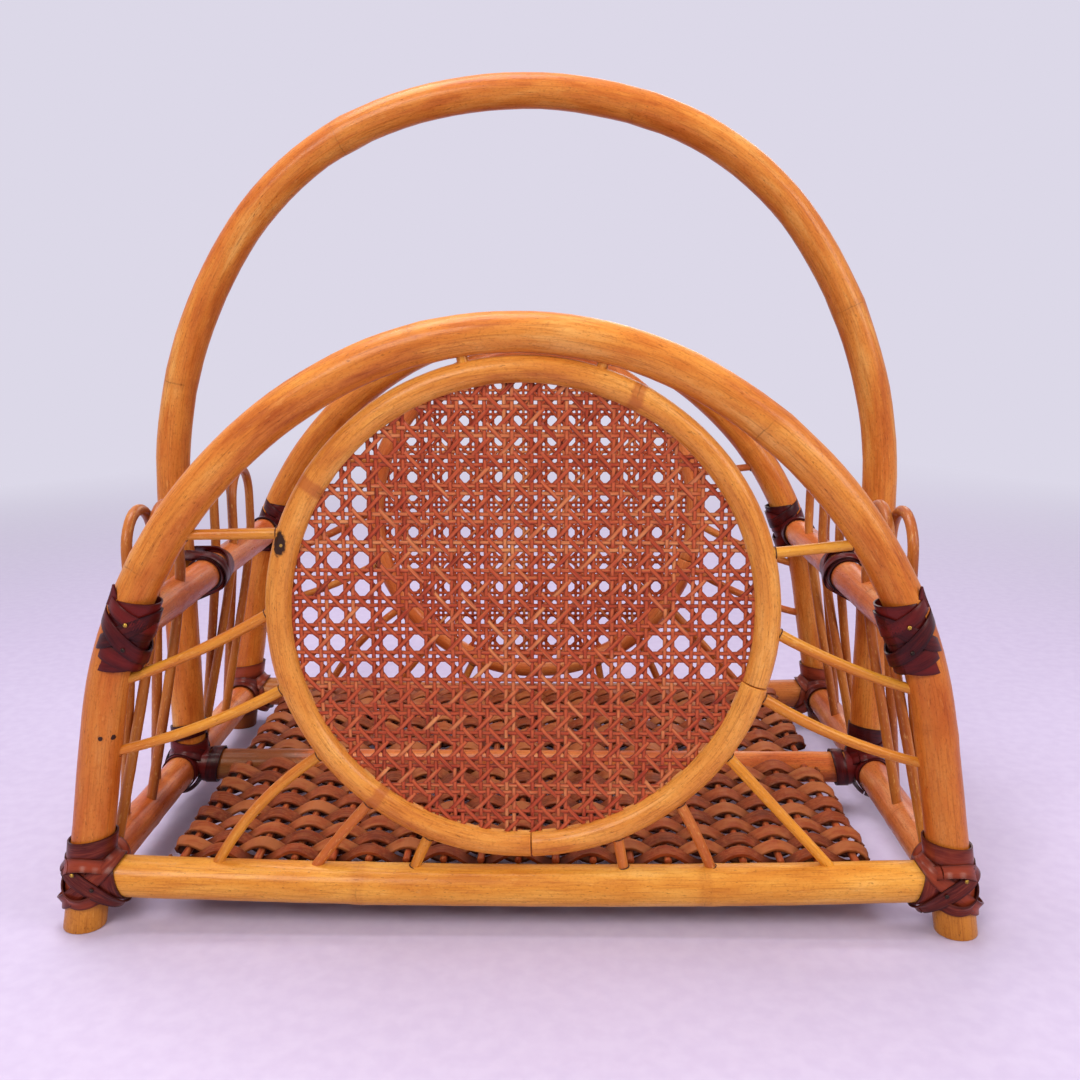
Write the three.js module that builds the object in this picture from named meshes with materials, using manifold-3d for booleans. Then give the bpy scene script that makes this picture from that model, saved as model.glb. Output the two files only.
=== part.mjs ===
// A rattan magazine basket: two bent arches and a tall bent carry handle stand on a frame
// of straight rails, a ring of cane webbing hangs on spokes inside each arch, hairpin
// canes close the two sides, and the floor is woven. Millimetres, +Z up, +X to the right
// of someone who faces the front, origin on the floor under the middle of the basket.

import * as THREE from "three";
import { mergeVertices } from "three/addons/utils/BufferGeometryUtils.js";
import Module from "manifold-3d";

const wasm = await Module();
wasm.setup();

// Clearances
const SEAT_GAP = 0.3;
const OVERRUN = 30;
const WELD = 0.001;

// Pole diameters
const ARCH_POLE = 20;
const HANDLE_POLE = 19.5;
const BASE_POLE = 20.5;
const SIDE_POLE = 19;
const SHOULDER_POLE = 19;
const RING_POLE = 12.8;
const SPOKE_POLE = 5.4;
const CANE_POLE = 5.6;

// Frame
const ARCH_SPACING = 288.9;
const BASE_HEIGHT = 27.6;
const SHOULDER_HEIGHT = 152;
const BASE_SAG = 4.5;
const SIDE_RAIL_INSET = 2;

// Arch centreline: a crown arc and a shoulder arc on each side, then a straight leg
const ARCH_TOP = 295.6;
const ARCH_CROWN_RADIUS = 180;
const ARCH_CROWN_ANGLE = 28.5;
const ARCH_SHOULDER_RADIUS = 227.7;
const ARCH_LEG_ANGLE = 80.9;

// Handle centreline: crown and shoulder arcs, a flank arc that brings it in line with the
// side base rail, then a vertical leg
const HANDLE_TOP = 426.6;
const HANDLE_INSET = 2.7;
const HANDLE_CROWN_RADIUS = 235;
const HANDLE_CROWN_ANGLE = 20;
const HANDLE_SHOULDER_RADIUS = 172;
const HANDLE_SHOULDER_ANGLE = 54;
const HANDLE_LEG_ANGLE = 90;

// Webbing rings
const RING_DIAMETER = 246;
const RING_OFFSET = 3;
const GROOVE_DEPTH = 3;
const WEBBING_THICKNESS = 2;
const COLUMN_PITCH = 12.7;
const ROW_PITCH = 13.5;
const STRAND_WIDTH = 5.9;
const WEBBING_MARGIN = 8;

// Side canes
const LOOP_RISE = 57;

// Woven floor
const FLOOR_MARGIN = 38.1;
const FLOOR_RISE = 10.9;
const FLOOR_DROP = 3.1;
const STAKE_BAND = 15;
const WEAVER_BAND = 16;
const FLOOR_GAPS_ACROSS = 9;
const FLOOR_GAPS_DEEP = 4;

// Lashings
const LASHING_WALL = 2.4;
const SHOULDER_LASHING_RISE = 20;
const SHOULDER_LASHING_DROP = 13;
const CORNER_LASHING_RISE = 22.4;
const CORNER_LASHING_DROP = 10.6;
const RAIL_LASHING = 24;
const SIDE_LASHING = 17;
const HANDLE_LASHING = 26;
const FOOT_LASHING_RISE = 28.4;

// Facets
const POLE_SIDES = 10;
const THIN_SIDES = 6;
const LASHING_SIDES = 8;
const RING_SEGMENTS = 30;
const RING_SIDES = 8;
const SPOKE_STEPS = 3;
const SAG_STEPS = 4;
const LOOP_STEPS = 6;
const STEP_ANGLE = 9;

// Spokes of one ring, listed from the top left down and from the bottom right up. Each
// leaves the ring at an angle from straight up. It ends on the arch at a height, given as
// a share of the shoulder height, and past 1 as a share of what is left up to the arch's
// top, or on the base rail at a share of its half length. The last value is the bow as a
// share of the spoke's length.
const ARCH_SPOKE_SHARES = [
  ["upper_left", -70, 1.341, 0],
  ["middle_left", -88.6, 0.8265, 0.035],
  ["lower_left", -107.5, 0.591, 0.04],
  ["lower_right", 109, 0.562, 0.05],
  ["middle_right", 93, 0.807, 0.035],
  ["upper_right", 75, 1.321, 0],
];
const RAIL_SPOKE_SHARES = [
  ["base_left", -125, -0.731, 0.07],
  ["base_mid_left", -141.6, -0.501, 0.02],
  ["base_inner_left", -157.7, -0.257, 0.02],
  ["base_inner_right", 157, 0.254, 0],
  ["base_mid_right", 140.4, 0.467, 0.02],
  ["base_right", 124.6, 0.757, 0],
];
const TOP_PEG_ANGLES = [-12.6, 17.4];

// Hairpin canes of half a side, as shares of half the arch spacing from the nearer front
// edge: the two holes in the shoulder rail, then the two feet on the side rail.
const OUTER_HAIRPIN_SHARES = { holes: [0.16, 0.42], feet: [0.35, 0.688] };
const INNER_HAIRPIN_SHARES = { holes: [0.287, 0.564], feet: [0.175, 0.508] };

// Places worked out from the sizes above
const archY = ARCH_SPACING / 2;
const ringRadius = RING_DIAMETER / 2;
const ringZ = ARCH_TOP - ARCH_POLE / 2 - SEAT_GAP - ringRadius;
const caneStagger = CANE_POLE / 2 + SEAT_GAP;

const radians = THREE.MathUtils.degToRad;
const point = (x, y, z) => new THREE.Vector3(x, y, z);

/** A path through stations that a sweep follows exactly, one ring of the section at each. */
class StationPath extends THREE.Curve {
  constructor(stations) {
    super();
    this.stations = stations;
  }

  getPoint(t, target = new THREE.Vector3()) {
    const last = this.stations.length - 1;
    const place = THREE.MathUtils.clamp(t, 0, 1) * last;
    const before = Math.min(Math.floor(place), last - 1);
    return target.lerpVectors(this.stations[before], this.stations[before + 1], place - before);
  }

  getUtoTmapping(u) {
    return u;
  }
}

/** A closed solid for cutting and joining, made of a geometry's positions alone. */
function solidOf(geometry) {
  const bare = new THREE.BufferGeometry();
  bare.setAttribute("position", geometry.getAttribute("position"));
  if (geometry.index) bare.setIndex(geometry.index);
  const merged = mergeVertices(bare, WELD);
  return new wasm.Manifold(
    new wasm.Mesh({
      numProp: 3,
      vertProperties: new Float32Array(merged.getAttribute("position").array),
      triVerts: new Uint32Array(merged.index.array),
    }),
  );
}

/** The largest body of a solid, without the offcuts that a cut leaves behind. */
function mainBody(solid) {
  return solid.decompose().reduce((best, body) => (body.volume() > best.volume() ? body : best));
}

function meshOf(name, solid, material) {
  const cut = mainBody(solid).getMesh();
  const geometry = new THREE.BufferGeometry();
  geometry.setAttribute("position", new THREE.BufferAttribute(cut.vertProperties, cut.numProp));
  geometry.setIndex(new THREE.BufferAttribute(cut.triVerts, 1));
  geometry.computeVertexNormals();
  const mesh = new THREE.Mesh(geometry, material);
  mesh.name = name;
  return mesh;
}

function roundSection(radius, sides) {
  const corners = Array.from({ length: sides }, (_, i) => {
    const angle = (2 * Math.PI * (i + 1 / 2)) / sides;
    return new THREE.Vector2(radius * Math.cos(angle), radius * Math.sin(angle));
  });
  return new THREE.Shape(corners);
}

/** A round pole along stations. Its solid can be grown all round by a clearance. */
class Pole {
  constructor(stations, diameter, sides = POLE_SIDES) {
    this.stations = stations;
    this.diameter = diameter;
    this.sides = sides;
  }

  solid(growth = 0) {
    const section = roundSection(this.diameter / 2 + growth, this.sides);
    const sweep = new THREE.ExtrudeGeometry(section, {
      steps: this.stations.length - 1,
      extrudePath: new StationPath(this.stations),
    });
    return solidOf(sweep);
  }

  clear() {
    return this.solid(SEAT_GAP);
  }
}

function without(solid, cutters) {
  return cutters.reduce((rest, cutter) => rest.subtract(cutter), solid);
}

/** Stations down the right half of a bent pole: arcs of falling slope, then a straight leg. */
function bentHalf(top, arcs, endZ) {
  const stations = [new THREE.Vector2(0, top)];
  let centre = new THREE.Vector2(0, top - arcs[0].radius);
  let from = 0;
  arcs.forEach((arc, i) => {
    if (i > 0) {
      const change = arcs[i - 1].radius - arc.radius;
      centre = new THREE.Vector2(
        centre.x + change * Math.sin(radians(from)),
        centre.y + change * Math.cos(radians(from)),
      );
    }
    const steps = Math.max(1, Math.round((arc.to - from) / STEP_ANGLE));
    for (let step = 1; step <= steps; step++) {
      const angle = radians(from + ((arc.to - from) * step) / steps);
      stations.push(
        new THREE.Vector2(
          centre.x + arc.radius * Math.sin(angle),
          centre.y + arc.radius * Math.cos(angle),
        ),
      );
    }
    from = arc.to;
  });
  const legStart = stations[stations.length - 1];
  const drop = legStart.y - endZ;
  stations.push(new THREE.Vector2(legStart.x + drop / Math.tan(radians(from)), endZ));
  return stations;
}

/** The whole bent pole from its left end to its right end in the plane of one y. */
function bentStations(half, y) {
  const right = half.map((p) => point(p.x, y, p.y));
  const left = half.slice(1).map((p) => point(-p.x, y, p.y));
  return [...left.reverse(), ...right];
}

/** How far out a bent pole's centreline lies at a height. */
function halfWidthAt(half, z) {
  const below = half.findIndex((p) => p.y <= z);
  const upper = half[below - 1];
  const lower = half[below];
  const share = (upper.y - z) / (upper.y - lower.y);
  return upper.x + share * (lower.x - upper.x);
}

const archHalf = bentHalf(
  ARCH_TOP,
  [
    { radius: ARCH_CROWN_RADIUS, to: ARCH_CROWN_ANGLE },
    { radius: ARCH_SHOULDER_RADIUS, to: ARCH_LEG_ANGLE },
  ],
  -OVERRUN,
);
const legX = halfWidthAt(archHalf, BASE_HEIGHT);
const sideRailX = legX - SIDE_RAIL_INSET;
const handleX = sideRailX - HANDLE_INSET;
const crownReach = Math.sin(radians(HANDLE_CROWN_ANGLE));
const shoulderReach = Math.sin(radians(HANDLE_SHOULDER_ANGLE)) - crownReach;
const flankReach = Math.sin(radians(HANDLE_LEG_ANGLE)) - crownReach - shoulderReach;
const innerReach = HANDLE_CROWN_RADIUS * crownReach + HANDLE_SHOULDER_RADIUS * shoulderReach;
const flankRadius = (handleX - innerReach) / flankReach;
const handleHalf = bentHalf(
  HANDLE_TOP,
  [
    { radius: HANDLE_CROWN_RADIUS, to: HANDLE_CROWN_ANGLE },
    { radius: HANDLE_SHOULDER_RADIUS, to: HANDLE_SHOULDER_ANGLE },
    { radius: flankRadius, to: HANDLE_LEG_ANGLE },
  ],
  BASE_HEIGHT + SIDE_POLE / 4,
);
const shoulderX = handleX - (HANDLE_POLE + SHOULDER_POLE) / 2 - SEAT_GAP;

const railHeightAt = (x) => BASE_HEIGHT - BASE_SAG * (1 - (x / legX) ** 2);

function straight(from, to) {
  return [from, to];
}

function saggingRail(y) {
  return Array.from({ length: SAG_STEPS + 1 }, (_, i) => {
    const x = legX * (-1 + (2 * i) / SAG_STEPS);
    return point(x, y, railHeightAt(x));
  });
}

// Finishes
const varnishedRattan = new THREE.MeshStandardMaterial({ color: "#c8772c", roughness: 0.35 });
const peeledCane = new THREE.MeshStandardMaterial({ color: "#d08b35", roughness: 0.4 });
const stainedWebbing = new THREE.MeshStandardMaterial({ color: "#a5492a", roughness: 0.5 });
const wovenReed = new THREE.MeshStandardMaterial({ color: "#a2562a", roughness: 0.6 });
const darkBinding = new THREE.MeshStandardMaterial({ color: "#4a2026", roughness: 0.3 });

const basket = new THREE.Group();

// Poles of the frame. A piece that butts against another is cut back by it with a seat gap.
const floorPlate = new THREE.BoxGeometry(
  2 * (legX + OVERRUN),
  ARCH_SPACING + 2 * OVERRUN,
  2 * OVERRUN,
);
const belowFloor = solidOf(floorPlate.translate(0, 0, -OVERRUN));
const faces = [
  { name: "front", sign: -1 },
  { name: "rear", sign: 1 },
];
const sides = [
  { name: "left", sign: -1 },
  { name: "right", sign: 1 },
];
const archPoles = faces.map((face) => new Pole(bentStations(archHalf, face.sign * archY), ARCH_POLE));
const basePoles = faces.map((face) => new Pole(saggingRail(face.sign * archY), BASE_POLE));
const handlePole = new Pole(bentStations(handleHalf, 0), HANDLE_POLE);
const sidePoles = sides.map(
  ({ sign }) =>
    new Pole(
      straight(
        point(sign * sideRailX, -archY, BASE_HEIGHT),
        point(sign * sideRailX, archY, BASE_HEIGHT),
      ),
      SIDE_POLE,
    ),
);
const shoulderPoles = sides.map(
  ({ sign }) =>
    new Pole(
      straight(
        point(sign * shoulderX, -archY, SHOULDER_HEIGHT),
        point(sign * shoulderX, archY, SHOULDER_HEIGHT),
      ),
      SHOULDER_POLE,
    ),
);
const middlePole = new Pole(
  straight(point(-sideRailX, 0, BASE_HEIGHT), point(sideRailX, 0, BASE_HEIGHT)),
  SIDE_POLE,
);

const clearArches = archPoles.map((pole) => pole.clear());
const clearBases = basePoles.map((pole) => pole.clear());
const clearSides = sidePoles.map((pole) => pole.clear());
const clearShoulders = shoulderPoles.map((pole) => pole.clear());
const clearHandle = handlePole.clear();
const clearMiddle = middlePole.clear();

/** One hairpin cane: a foot, a hole in the shoulder rail, the loop above it, and back. */
function hairpinPole(side, half, shares, outward) {
  const stagger = side.sign * outward * caneStagger;
  const start = half.sign < 0 ? -archY : 0;
  const footX = side.sign * sideRailX + stagger;
  const holeX = side.sign * shoulderX + stagger;
  const [firstHole, lastHole] = shares.holes.map((share) => start + share * archY);
  const [firstFoot, lastFoot] = shares.feet.map((share) => start + share * archY);
  const loopRadius = (lastHole - firstHole) / 2;
  const loopY = (firstHole + lastHole) / 2;
  const loopZ = SHOULDER_HEIGHT + LOOP_RISE - CANE_POLE / 2 - loopRadius;
  const loop = Array.from({ length: LOOP_STEPS + 1 }, (_, i) => {
    const angle = Math.PI * (1 - i / LOOP_STEPS);
    return point(holeX, loopY + loopRadius * Math.cos(angle), loopZ + loopRadius * Math.sin(angle));
  });
  return new Pole(
    [
      point(footX, firstFoot, BASE_HEIGHT),
      point(holeX, firstHole, SHOULDER_HEIGHT),
      ...loop,
      point(holeX, lastHole, SHOULDER_HEIGHT),
      point(footX, lastFoot, BASE_HEIGHT),
    ],
    CANE_POLE,
    THIN_SIDES,
  );
}

const hairpins = sides.flatMap((side, s) =>
  faces.flatMap((half) =>
    [
      { layer: "outer", shares: OUTER_HAIRPIN_SHARES, outward: 1 },
      { layer: "inner", shares: INNER_HAIRPIN_SHARES, outward: -1 },
    ].map(({ layer, shares, outward }) => ({
      name: [side.name, half.name, layer, "hairpin"].join("_"),
      sideIndex: s,
      pole: hairpinPole(side, half, shares, outward),
    })),
  ),
);

faces.forEach((face, f) => {
  const arch = archPoles[f].solid().subtract(belowFloor);
  basket.add(meshOf(face.name + "_arch", arch, varnishedRattan));
  const rail = without(basePoles[f].solid(), [clearArches[f]]);
  basket.add(meshOf(face.name + "_base_rail", rail, varnishedRattan));
});
sides.forEach((side, s) => {
  const baseRail = without(sidePoles[s].solid(), [...clearArches, ...clearBases]);
  basket.add(meshOf(side.name + "_base_rail", baseRail, varnishedRattan));
  const holes = hairpins.filter((cane) => cane.sideIndex === s).map((cane) => cane.pole.clear());
  const shoulderRail = without(shoulderPoles[s].solid(), [...clearArches, ...holes]);
  basket.add(meshOf(side.name + "_shoulder_rail", shoulderRail, varnishedRattan));
});
const middleRail = without(middlePole.solid(), clearSides);
basket.add(meshOf("middle_base_rail", middleRail, varnishedRattan));
const handle = without(handlePole.solid(), [...clearSides, clearMiddle]);
basket.add(meshOf("carry_handle", handle, varnishedRattan));
hairpins.forEach((cane) => {
  const solid = without(cane.pole.solid(), [clearSides[cane.sideIndex]]);
  basket.add(meshOf(cane.name, solid, peeledCane));
});

/** A ring pole with a groove round its inner side, turned about the y axis. */
function ringSolid(growth) {
  const poleRadius = RING_POLE / 2 + growth;
  const middleRadius = ringRadius - RING_POLE / 2;
  const grooveHalf = WEBBING_THICKNESS / 2 + SEAT_GAP;
  const mouth = Math.asin(grooveHalf / poleRadius);
  const lip = Math.PI - mouth;
  const section = Array.from({ length: RING_SIDES + 1 }, (_, i) => {
    const angle = -lip + (2 * lip * i) / RING_SIDES;
    return new THREE.Vector2(
      middleRadius + poleRadius * Math.cos(angle),
      poleRadius * Math.sin(angle),
    );
  });
  const grooveRadius = middleRadius - poleRadius * Math.cos(mouth) + GROOVE_DEPTH;
  section.push(new THREE.Vector2(grooveRadius, grooveHalf));
  section.push(new THREE.Vector2(grooveRadius, -grooveHalf));
  section.push(section[0].clone());
  return solidOf(new THREE.LatheGeometry(section, RING_SEGMENTS));
}

/** A disc of webbing that reaches into the ring's groove, with its grid of square gaps. */
function webbingSolid() {
  const grooveFloor = ringRadius - RING_POLE + GROOVE_DEPTH;
  const discRadius = grooveFloor - SEAT_GAP;
  const disc = new THREE.CylinderGeometry(discRadius, discRadius, WEBBING_THICKNESS, RING_SEGMENTS);
  const openRadius = ringRadius - RING_POLE - WEBBING_MARGIN;
  const gapWidth = COLUMN_PITCH - STRAND_WIDTH;
  const gapHeight = ROW_PITCH - STRAND_WIDTH;
  const columns = Math.floor(openRadius / COLUMN_PITCH);
  const rows = Math.floor(openRadius / ROW_PITCH);
  const gaps = [];
  for (let column = -columns; column <= columns; column++) {
    for (let row = -rows; row <= rows; row++) {
      const x = column * COLUMN_PITCH;
      const z = row * ROW_PITCH;
      const corner = Math.hypot(Math.abs(x) + gapWidth / 2, Math.abs(z) + gapHeight / 2);
      if (corner > openRadius) continue;
      const gap = new THREE.BoxGeometry(gapWidth, 2 * WEBBING_THICKNESS, gapHeight);
      gaps.push(solidOf(gap.translate(x, 0, z)));
    }
  }
  return without(solidOf(disc), gaps);
}

const ringShape = ringSolid(0);
const clearRing = ringSolid(SEAT_GAP);
const webbing = webbingSolid();

const onRing = (angle, radius) => ({
  x: RING_OFFSET + radius * Math.sin(radians(angle)),
  z: ringZ + radius * Math.cos(radians(angle)),
});

/** A spoke from the middle of the ring pole to the middle of the pole that it ends on. */
function spokePole(y, angle, far, bowShare) {
  const near = onRing(angle, ringRadius - RING_POLE / 2);
  const along = new THREE.Vector2(far.x - near.x, far.z - near.z);
  const bow = along.length() * bowShare;
  const square = new THREE.Vector2(-Math.abs(along.y), -Math.abs(along.x)).normalize();
  square.x *= -Math.sign(near.x);
  const steps = bowShare ? SPOKE_STEPS : 1;
  const stations = Array.from({ length: steps + 1 }, (_, i) => {
    const t = i / steps;
    const sag = bow * 4 * t * (1 - t);
    return point(
      near.x + along.x * t + square.x * sag,
      y,
      near.z + along.y * t + square.y * sag,
    );
  });
  return new Pole(stations, SPOKE_POLE, THIN_SIDES);
}

/** A short peg of one piece with the ring, from inside the ring pole up into the arch. */
function topPeg(y, angle) {
  const start = onRing(angle, ringRadius - RING_POLE / 4);
  const end = onRing(angle, ringRadius + ARCH_POLE / 2);
  const ends = straight(point(start.x, y, start.z), point(end.x, y, end.z));
  return new Pole(ends, SPOKE_POLE, THIN_SIDES).solid();
}

const clearArchSpokes = faces.map(() => []);
faces.forEach((face, f) => {
  const y = face.sign * archY;
  const place = [RING_OFFSET, y, ringZ];
  const cutters = [clearRing.translate(place), clearArches[f], clearBases[f]];
  const pegs = TOP_PEG_ANGLES.map((angle) => topPeg(y, angle).subtract(clearArches[f]));
  const ring = pegs.reduce((whole, peg) => whole.add(peg), ringShape.translate(place));
  basket.add(meshOf(face.name + "_ring", ring, varnishedRattan));
  basket.add(meshOf(face.name + "_webbing", webbing.translate(place), stainedWebbing));
  ARCH_SPOKE_SHARES.forEach(([label, angle, heightShare, bowShare]) => {
    const z =
      Math.min(heightShare, 1) * SHOULDER_HEIGHT +
      Math.max(heightShare - 1, 0) * (ARCH_TOP - SHOULDER_HEIGHT);
    const far = { x: Math.sign(angle) * halfWidthAt(archHalf, z), z };
    const pole = spokePole(y, angle, far, bowShare);
    clearArchSpokes[f].push(pole.clear());
    const spoke = without(pole.solid(), cutters);
    basket.add(meshOf([face.name, label, "spoke"].join("_"), spoke, peeledCane));
  });
  RAIL_SPOKE_SHARES.forEach(([label, angle, lengthShare, bowShare]) => {
    const x = lengthShare * legX;
    const far = { x, z: railHeightAt(x) };
    const spoke = without(spokePole(y, angle, far, bowShare).solid(), cutters);
    basket.add(meshOf([face.name, label, "spoke"].join("_"), spoke, peeledCane));
  });
});

/** Where the middle of one gap lies when a count of them shares a width centred on zero. */
function gapPlace(index, count, width) {
  return ((2 * index + 1) / (2 * count)) * width - width / 2;
}

/** One field of the woven floor between two rails: a slab with a grid of gaps through it. */
function floorField(face) {
  const innerY = SIDE_POLE / 2 + SEAT_GAP;
  const outerY = archY - BASE_POLE / 2 - SEAT_GAP;
  const width = 2 * (sideRailX - FLOOR_MARGIN);
  const depth = outerY - innerY;
  const height = FLOOR_RISE + FLOOR_DROP;
  const middleY = (face.sign * (innerY + outerY)) / 2;
  const middleZ = BASE_HEIGHT + (FLOOR_RISE - FLOOR_DROP) / 2;
  const gapWidth = width / FLOOR_GAPS_ACROSS - STAKE_BAND;
  const gapDepth = depth / FLOOR_GAPS_DEEP - WEAVER_BAND;
  const gaps = [];
  for (let column = 0; column < FLOOR_GAPS_ACROSS; column++) {
    for (let row = 0; row < FLOOR_GAPS_DEEP; row++) {
      const x = gapPlace(column, FLOOR_GAPS_ACROSS, width);
      const y = gapPlace(row, FLOOR_GAPS_DEEP, depth);
      const gap = new THREE.BoxGeometry(gapWidth, gapDepth, 2 * height);
      gaps.push(solidOf(gap.translate(x, y, 0)));
    }
  }
  const slab = solidOf(new THREE.BoxGeometry(width, depth, height));
  return without(slab, gaps).translate([0, middleY, middleZ]);
}

faces.forEach((face) => {
  basket.add(meshOf(face.name + "_floor_weave", floorField(face), wovenReed));
});

/** A collar of binding round a straight stretch of a pole. */
function collar(from, to, diameter) {
  return new Pole(straight(from, to), diameter + 2 * LASHING_WALL, LASHING_SIDES).solid();
}

function archPointAt(side, y, z) {
  return point(side.sign * halfWidthAt(archHalf, z), y, z);
}

function lashing(name, collars, cutters) {
  const joined = collars.reduce((whole, next) => whole.add(next));
  basket.add(meshOf(name, without(joined, cutters), darkBinding));
}

sides.forEach((side, s) => {
  faces.forEach((face, f) => {
    const y = face.sign * archY;
    const inwardY = face.sign * (archY - SIDE_LASHING);
    lashing(
      [face.name, side.name, "shoulder_lashing"].join("_"),
      [
        collar(
          archPointAt(side, y, SHOULDER_HEIGHT - SHOULDER_LASHING_DROP),
          archPointAt(side, y, SHOULDER_HEIGHT + SHOULDER_LASHING_RISE),
          ARCH_POLE,
        ),
        collar(
          point(side.sign * shoulderX, y, SHOULDER_HEIGHT),
          point(side.sign * shoulderX, inwardY, SHOULDER_HEIGHT),
          SHOULDER_POLE,
        ),
      ],
      [clearArches[f], clearShoulders[s], ...clearArchSpokes[f]],
    );
    const railEnd = legX - RAIL_LASHING;
    lashing(
      [face.name, side.name, "corner_lashing"].join("_"),
      [
        collar(
          archPointAt(side, y, BASE_HEIGHT - CORNER_LASHING_DROP),
          archPointAt(side, y, BASE_HEIGHT + CORNER_LASHING_RISE),
          ARCH_POLE,
        ),
        collar(
          point(side.sign * legX, y, BASE_HEIGHT),
          point(side.sign * railEnd, y, railHeightAt(railEnd)),
          BASE_POLE,
        ),
        collar(
          point(side.sign * sideRailX, y, BASE_HEIGHT),
          point(side.sign * sideRailX, inwardY, BASE_HEIGHT),
          SIDE_POLE,
        ),
      ],
      [clearArches[f], clearBases[f], clearSides[s]],
    );
  });
  const handleSideX = side.sign * handleX;
  lashing(
    side.name + "_handle_lashing",
    [
      collar(
        point(side.sign * shoulderX, -HANDLE_LASHING / 2, SHOULDER_HEIGHT),
        point(side.sign * shoulderX, HANDLE_LASHING / 2, SHOULDER_HEIGHT),
        SHOULDER_POLE,
      ),
      collar(
        point(handleSideX, 0, SHOULDER_HEIGHT - HANDLE_LASHING / 2),
        point(handleSideX, 0, SHOULDER_HEIGHT + HANDLE_LASHING / 2),
        HANDLE_POLE,
      ),
    ],
    [clearShoulders[s], clearHandle],
  );
  lashing(
    side.name + "_handle_foot_lashing",
    [
      collar(
        point(side.sign * sideRailX, -HANDLE_LASHING / 2, BASE_HEIGHT),
        point(side.sign * sideRailX, HANDLE_LASHING / 2, BASE_HEIGHT),
        SIDE_POLE,
      ),
      collar(
        point(handleSideX, 0, BASE_HEIGHT),
        point(handleSideX, 0, BASE_HEIGHT + FOOT_LASHING_RISE),
        HANDLE_POLE,
      ),
      collar(
        point(side.sign * sideRailX, 0, BASE_HEIGHT),
        point(side.sign * (sideRailX - RAIL_LASHING), 0, BASE_HEIGHT),
        SIDE_POLE,
      ),
    ],
    [clearSides[s], clearHandle, clearMiddle],
  );
});

export default basket;
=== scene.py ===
"""The looks of a rattan magazine basket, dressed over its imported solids.

Two bent arches, a tall carry handle and straight rails are varnished rattan pole. A ring of
thinner pole hangs on spokes inside each arch and holds a disc of cane webbing, hairpin canes
close the two sides, flat reed is woven over round stakes for the floor, and dark binding cane
is lashed over every joint. Sizes are in millimetres and become metres where a mesh is made.
"""

from __future__ import annotations

import logging
import math
from collections.abc import Callable, Iterator
from contextlib import contextmanager
from dataclasses import dataclass, field, replace
from enum import Enum
from functools import cache
from itertools import count

import bpy
import numpy as np
from mathutils import Matrix, Vector

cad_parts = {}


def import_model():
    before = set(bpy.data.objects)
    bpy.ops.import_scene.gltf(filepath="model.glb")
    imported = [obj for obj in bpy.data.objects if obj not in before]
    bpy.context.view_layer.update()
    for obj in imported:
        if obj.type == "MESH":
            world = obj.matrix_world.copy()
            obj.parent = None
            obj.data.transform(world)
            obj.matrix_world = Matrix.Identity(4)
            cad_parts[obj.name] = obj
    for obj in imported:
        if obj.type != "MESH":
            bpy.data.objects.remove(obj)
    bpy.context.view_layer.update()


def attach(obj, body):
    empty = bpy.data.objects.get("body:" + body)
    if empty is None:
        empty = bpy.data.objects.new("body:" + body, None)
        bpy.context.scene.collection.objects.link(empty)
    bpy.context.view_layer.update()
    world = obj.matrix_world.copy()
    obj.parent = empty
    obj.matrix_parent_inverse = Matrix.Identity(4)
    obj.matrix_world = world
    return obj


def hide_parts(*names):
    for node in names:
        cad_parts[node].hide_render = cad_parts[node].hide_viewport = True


Piece = bpy.types.Object
Material = bpy.types.Material
Tree = bpy.types.NodeTree
Socket = bpy.types.NodeSocket

LOG = logging.getLogger("magazine_basket")
MM = 0.001
# Two points that are nearer than this are in the same ring of a pole or strip.
NEAR = MM / 10
UP = Vector((0, 0, 1))

# The distance between two nodes of a rattan pole, where a leaf sheath once sat.
NODE_SPACING = 172 * MM
# How many nodes along the grain one pole starts after another, so that no two are alike.
GRAIN_STRIDE = 8

# Sizes that several sub-assemblies share.
ARCH_DIAMETER = 20.0
ARCH_Y = 144.45
BASE_HEIGHT = 27.6
BASE_DIAMETER = 20.5
BASE_SAG = 4.5
SIDE_DIAMETER = 19.0
SIDE_RAIL_X = 213.1
SHOULDER_HEIGHT = 152.0
SHOULDER_X = 190.9
HANDLE_DIAMETER = 19.5
HANDLE_X = 210.4
RING_X = 3.0
RING_Z = 162.3
RING_RADIUS = 123.0
RING_DIAMETER = 12.8
COLUMN_PITCH = 12.7
ROW_PITCH = 13.5
SPOKE_DIAMETER = 5.4
HAIRPIN_DIAMETER = 5.6
# How deep a rail's end sits in the pole that it butts against, as a share of that pole.
BUTT_SHARE = 0.45


class Face(Enum):
    """The two long faces of the basket, with the side of the y axis that each is on."""

    FRONT = -1
    REAR = 1


class Side(Enum):
    """The two short sides of the basket, with the side of the x axis that each is on."""

    LEFT = -1
    RIGHT = 1


class Part(Enum):
    """What is chosen in edit mode, with Blender's three switches for it."""

    POINTS = (True, False, False)
    EDGES = (False, True, False)


def named(*parts: Face | Side | str) -> str:
    """Joins faces, sides and words into the name of a node or a piece."""
    return "_".join(p if isinstance(p, str) else p.name.lower() for p in parts)


# Modelling, with the operators that work by hand too.


def deselect() -> None:
    """Leaves edit mode and selects nothing."""
    if bpy.context.object is not None and bpy.context.object.mode != "OBJECT":
        bpy.ops.object.mode_set(mode="OBJECT")
    bpy.ops.object.select_all(action="DESELECT")


def pick(piece: Piece) -> None:
    """Makes one piece the only selected and the active object."""
    deselect()
    piece.select_set(True)
    bpy.context.view_layer.objects.active = piece


def renamed(name: str) -> Piece:
    """Gives the active piece and its mesh a name and returns it."""
    piece = bpy.context.object
    piece.name = name
    piece.data.name = name
    return piece


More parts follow.
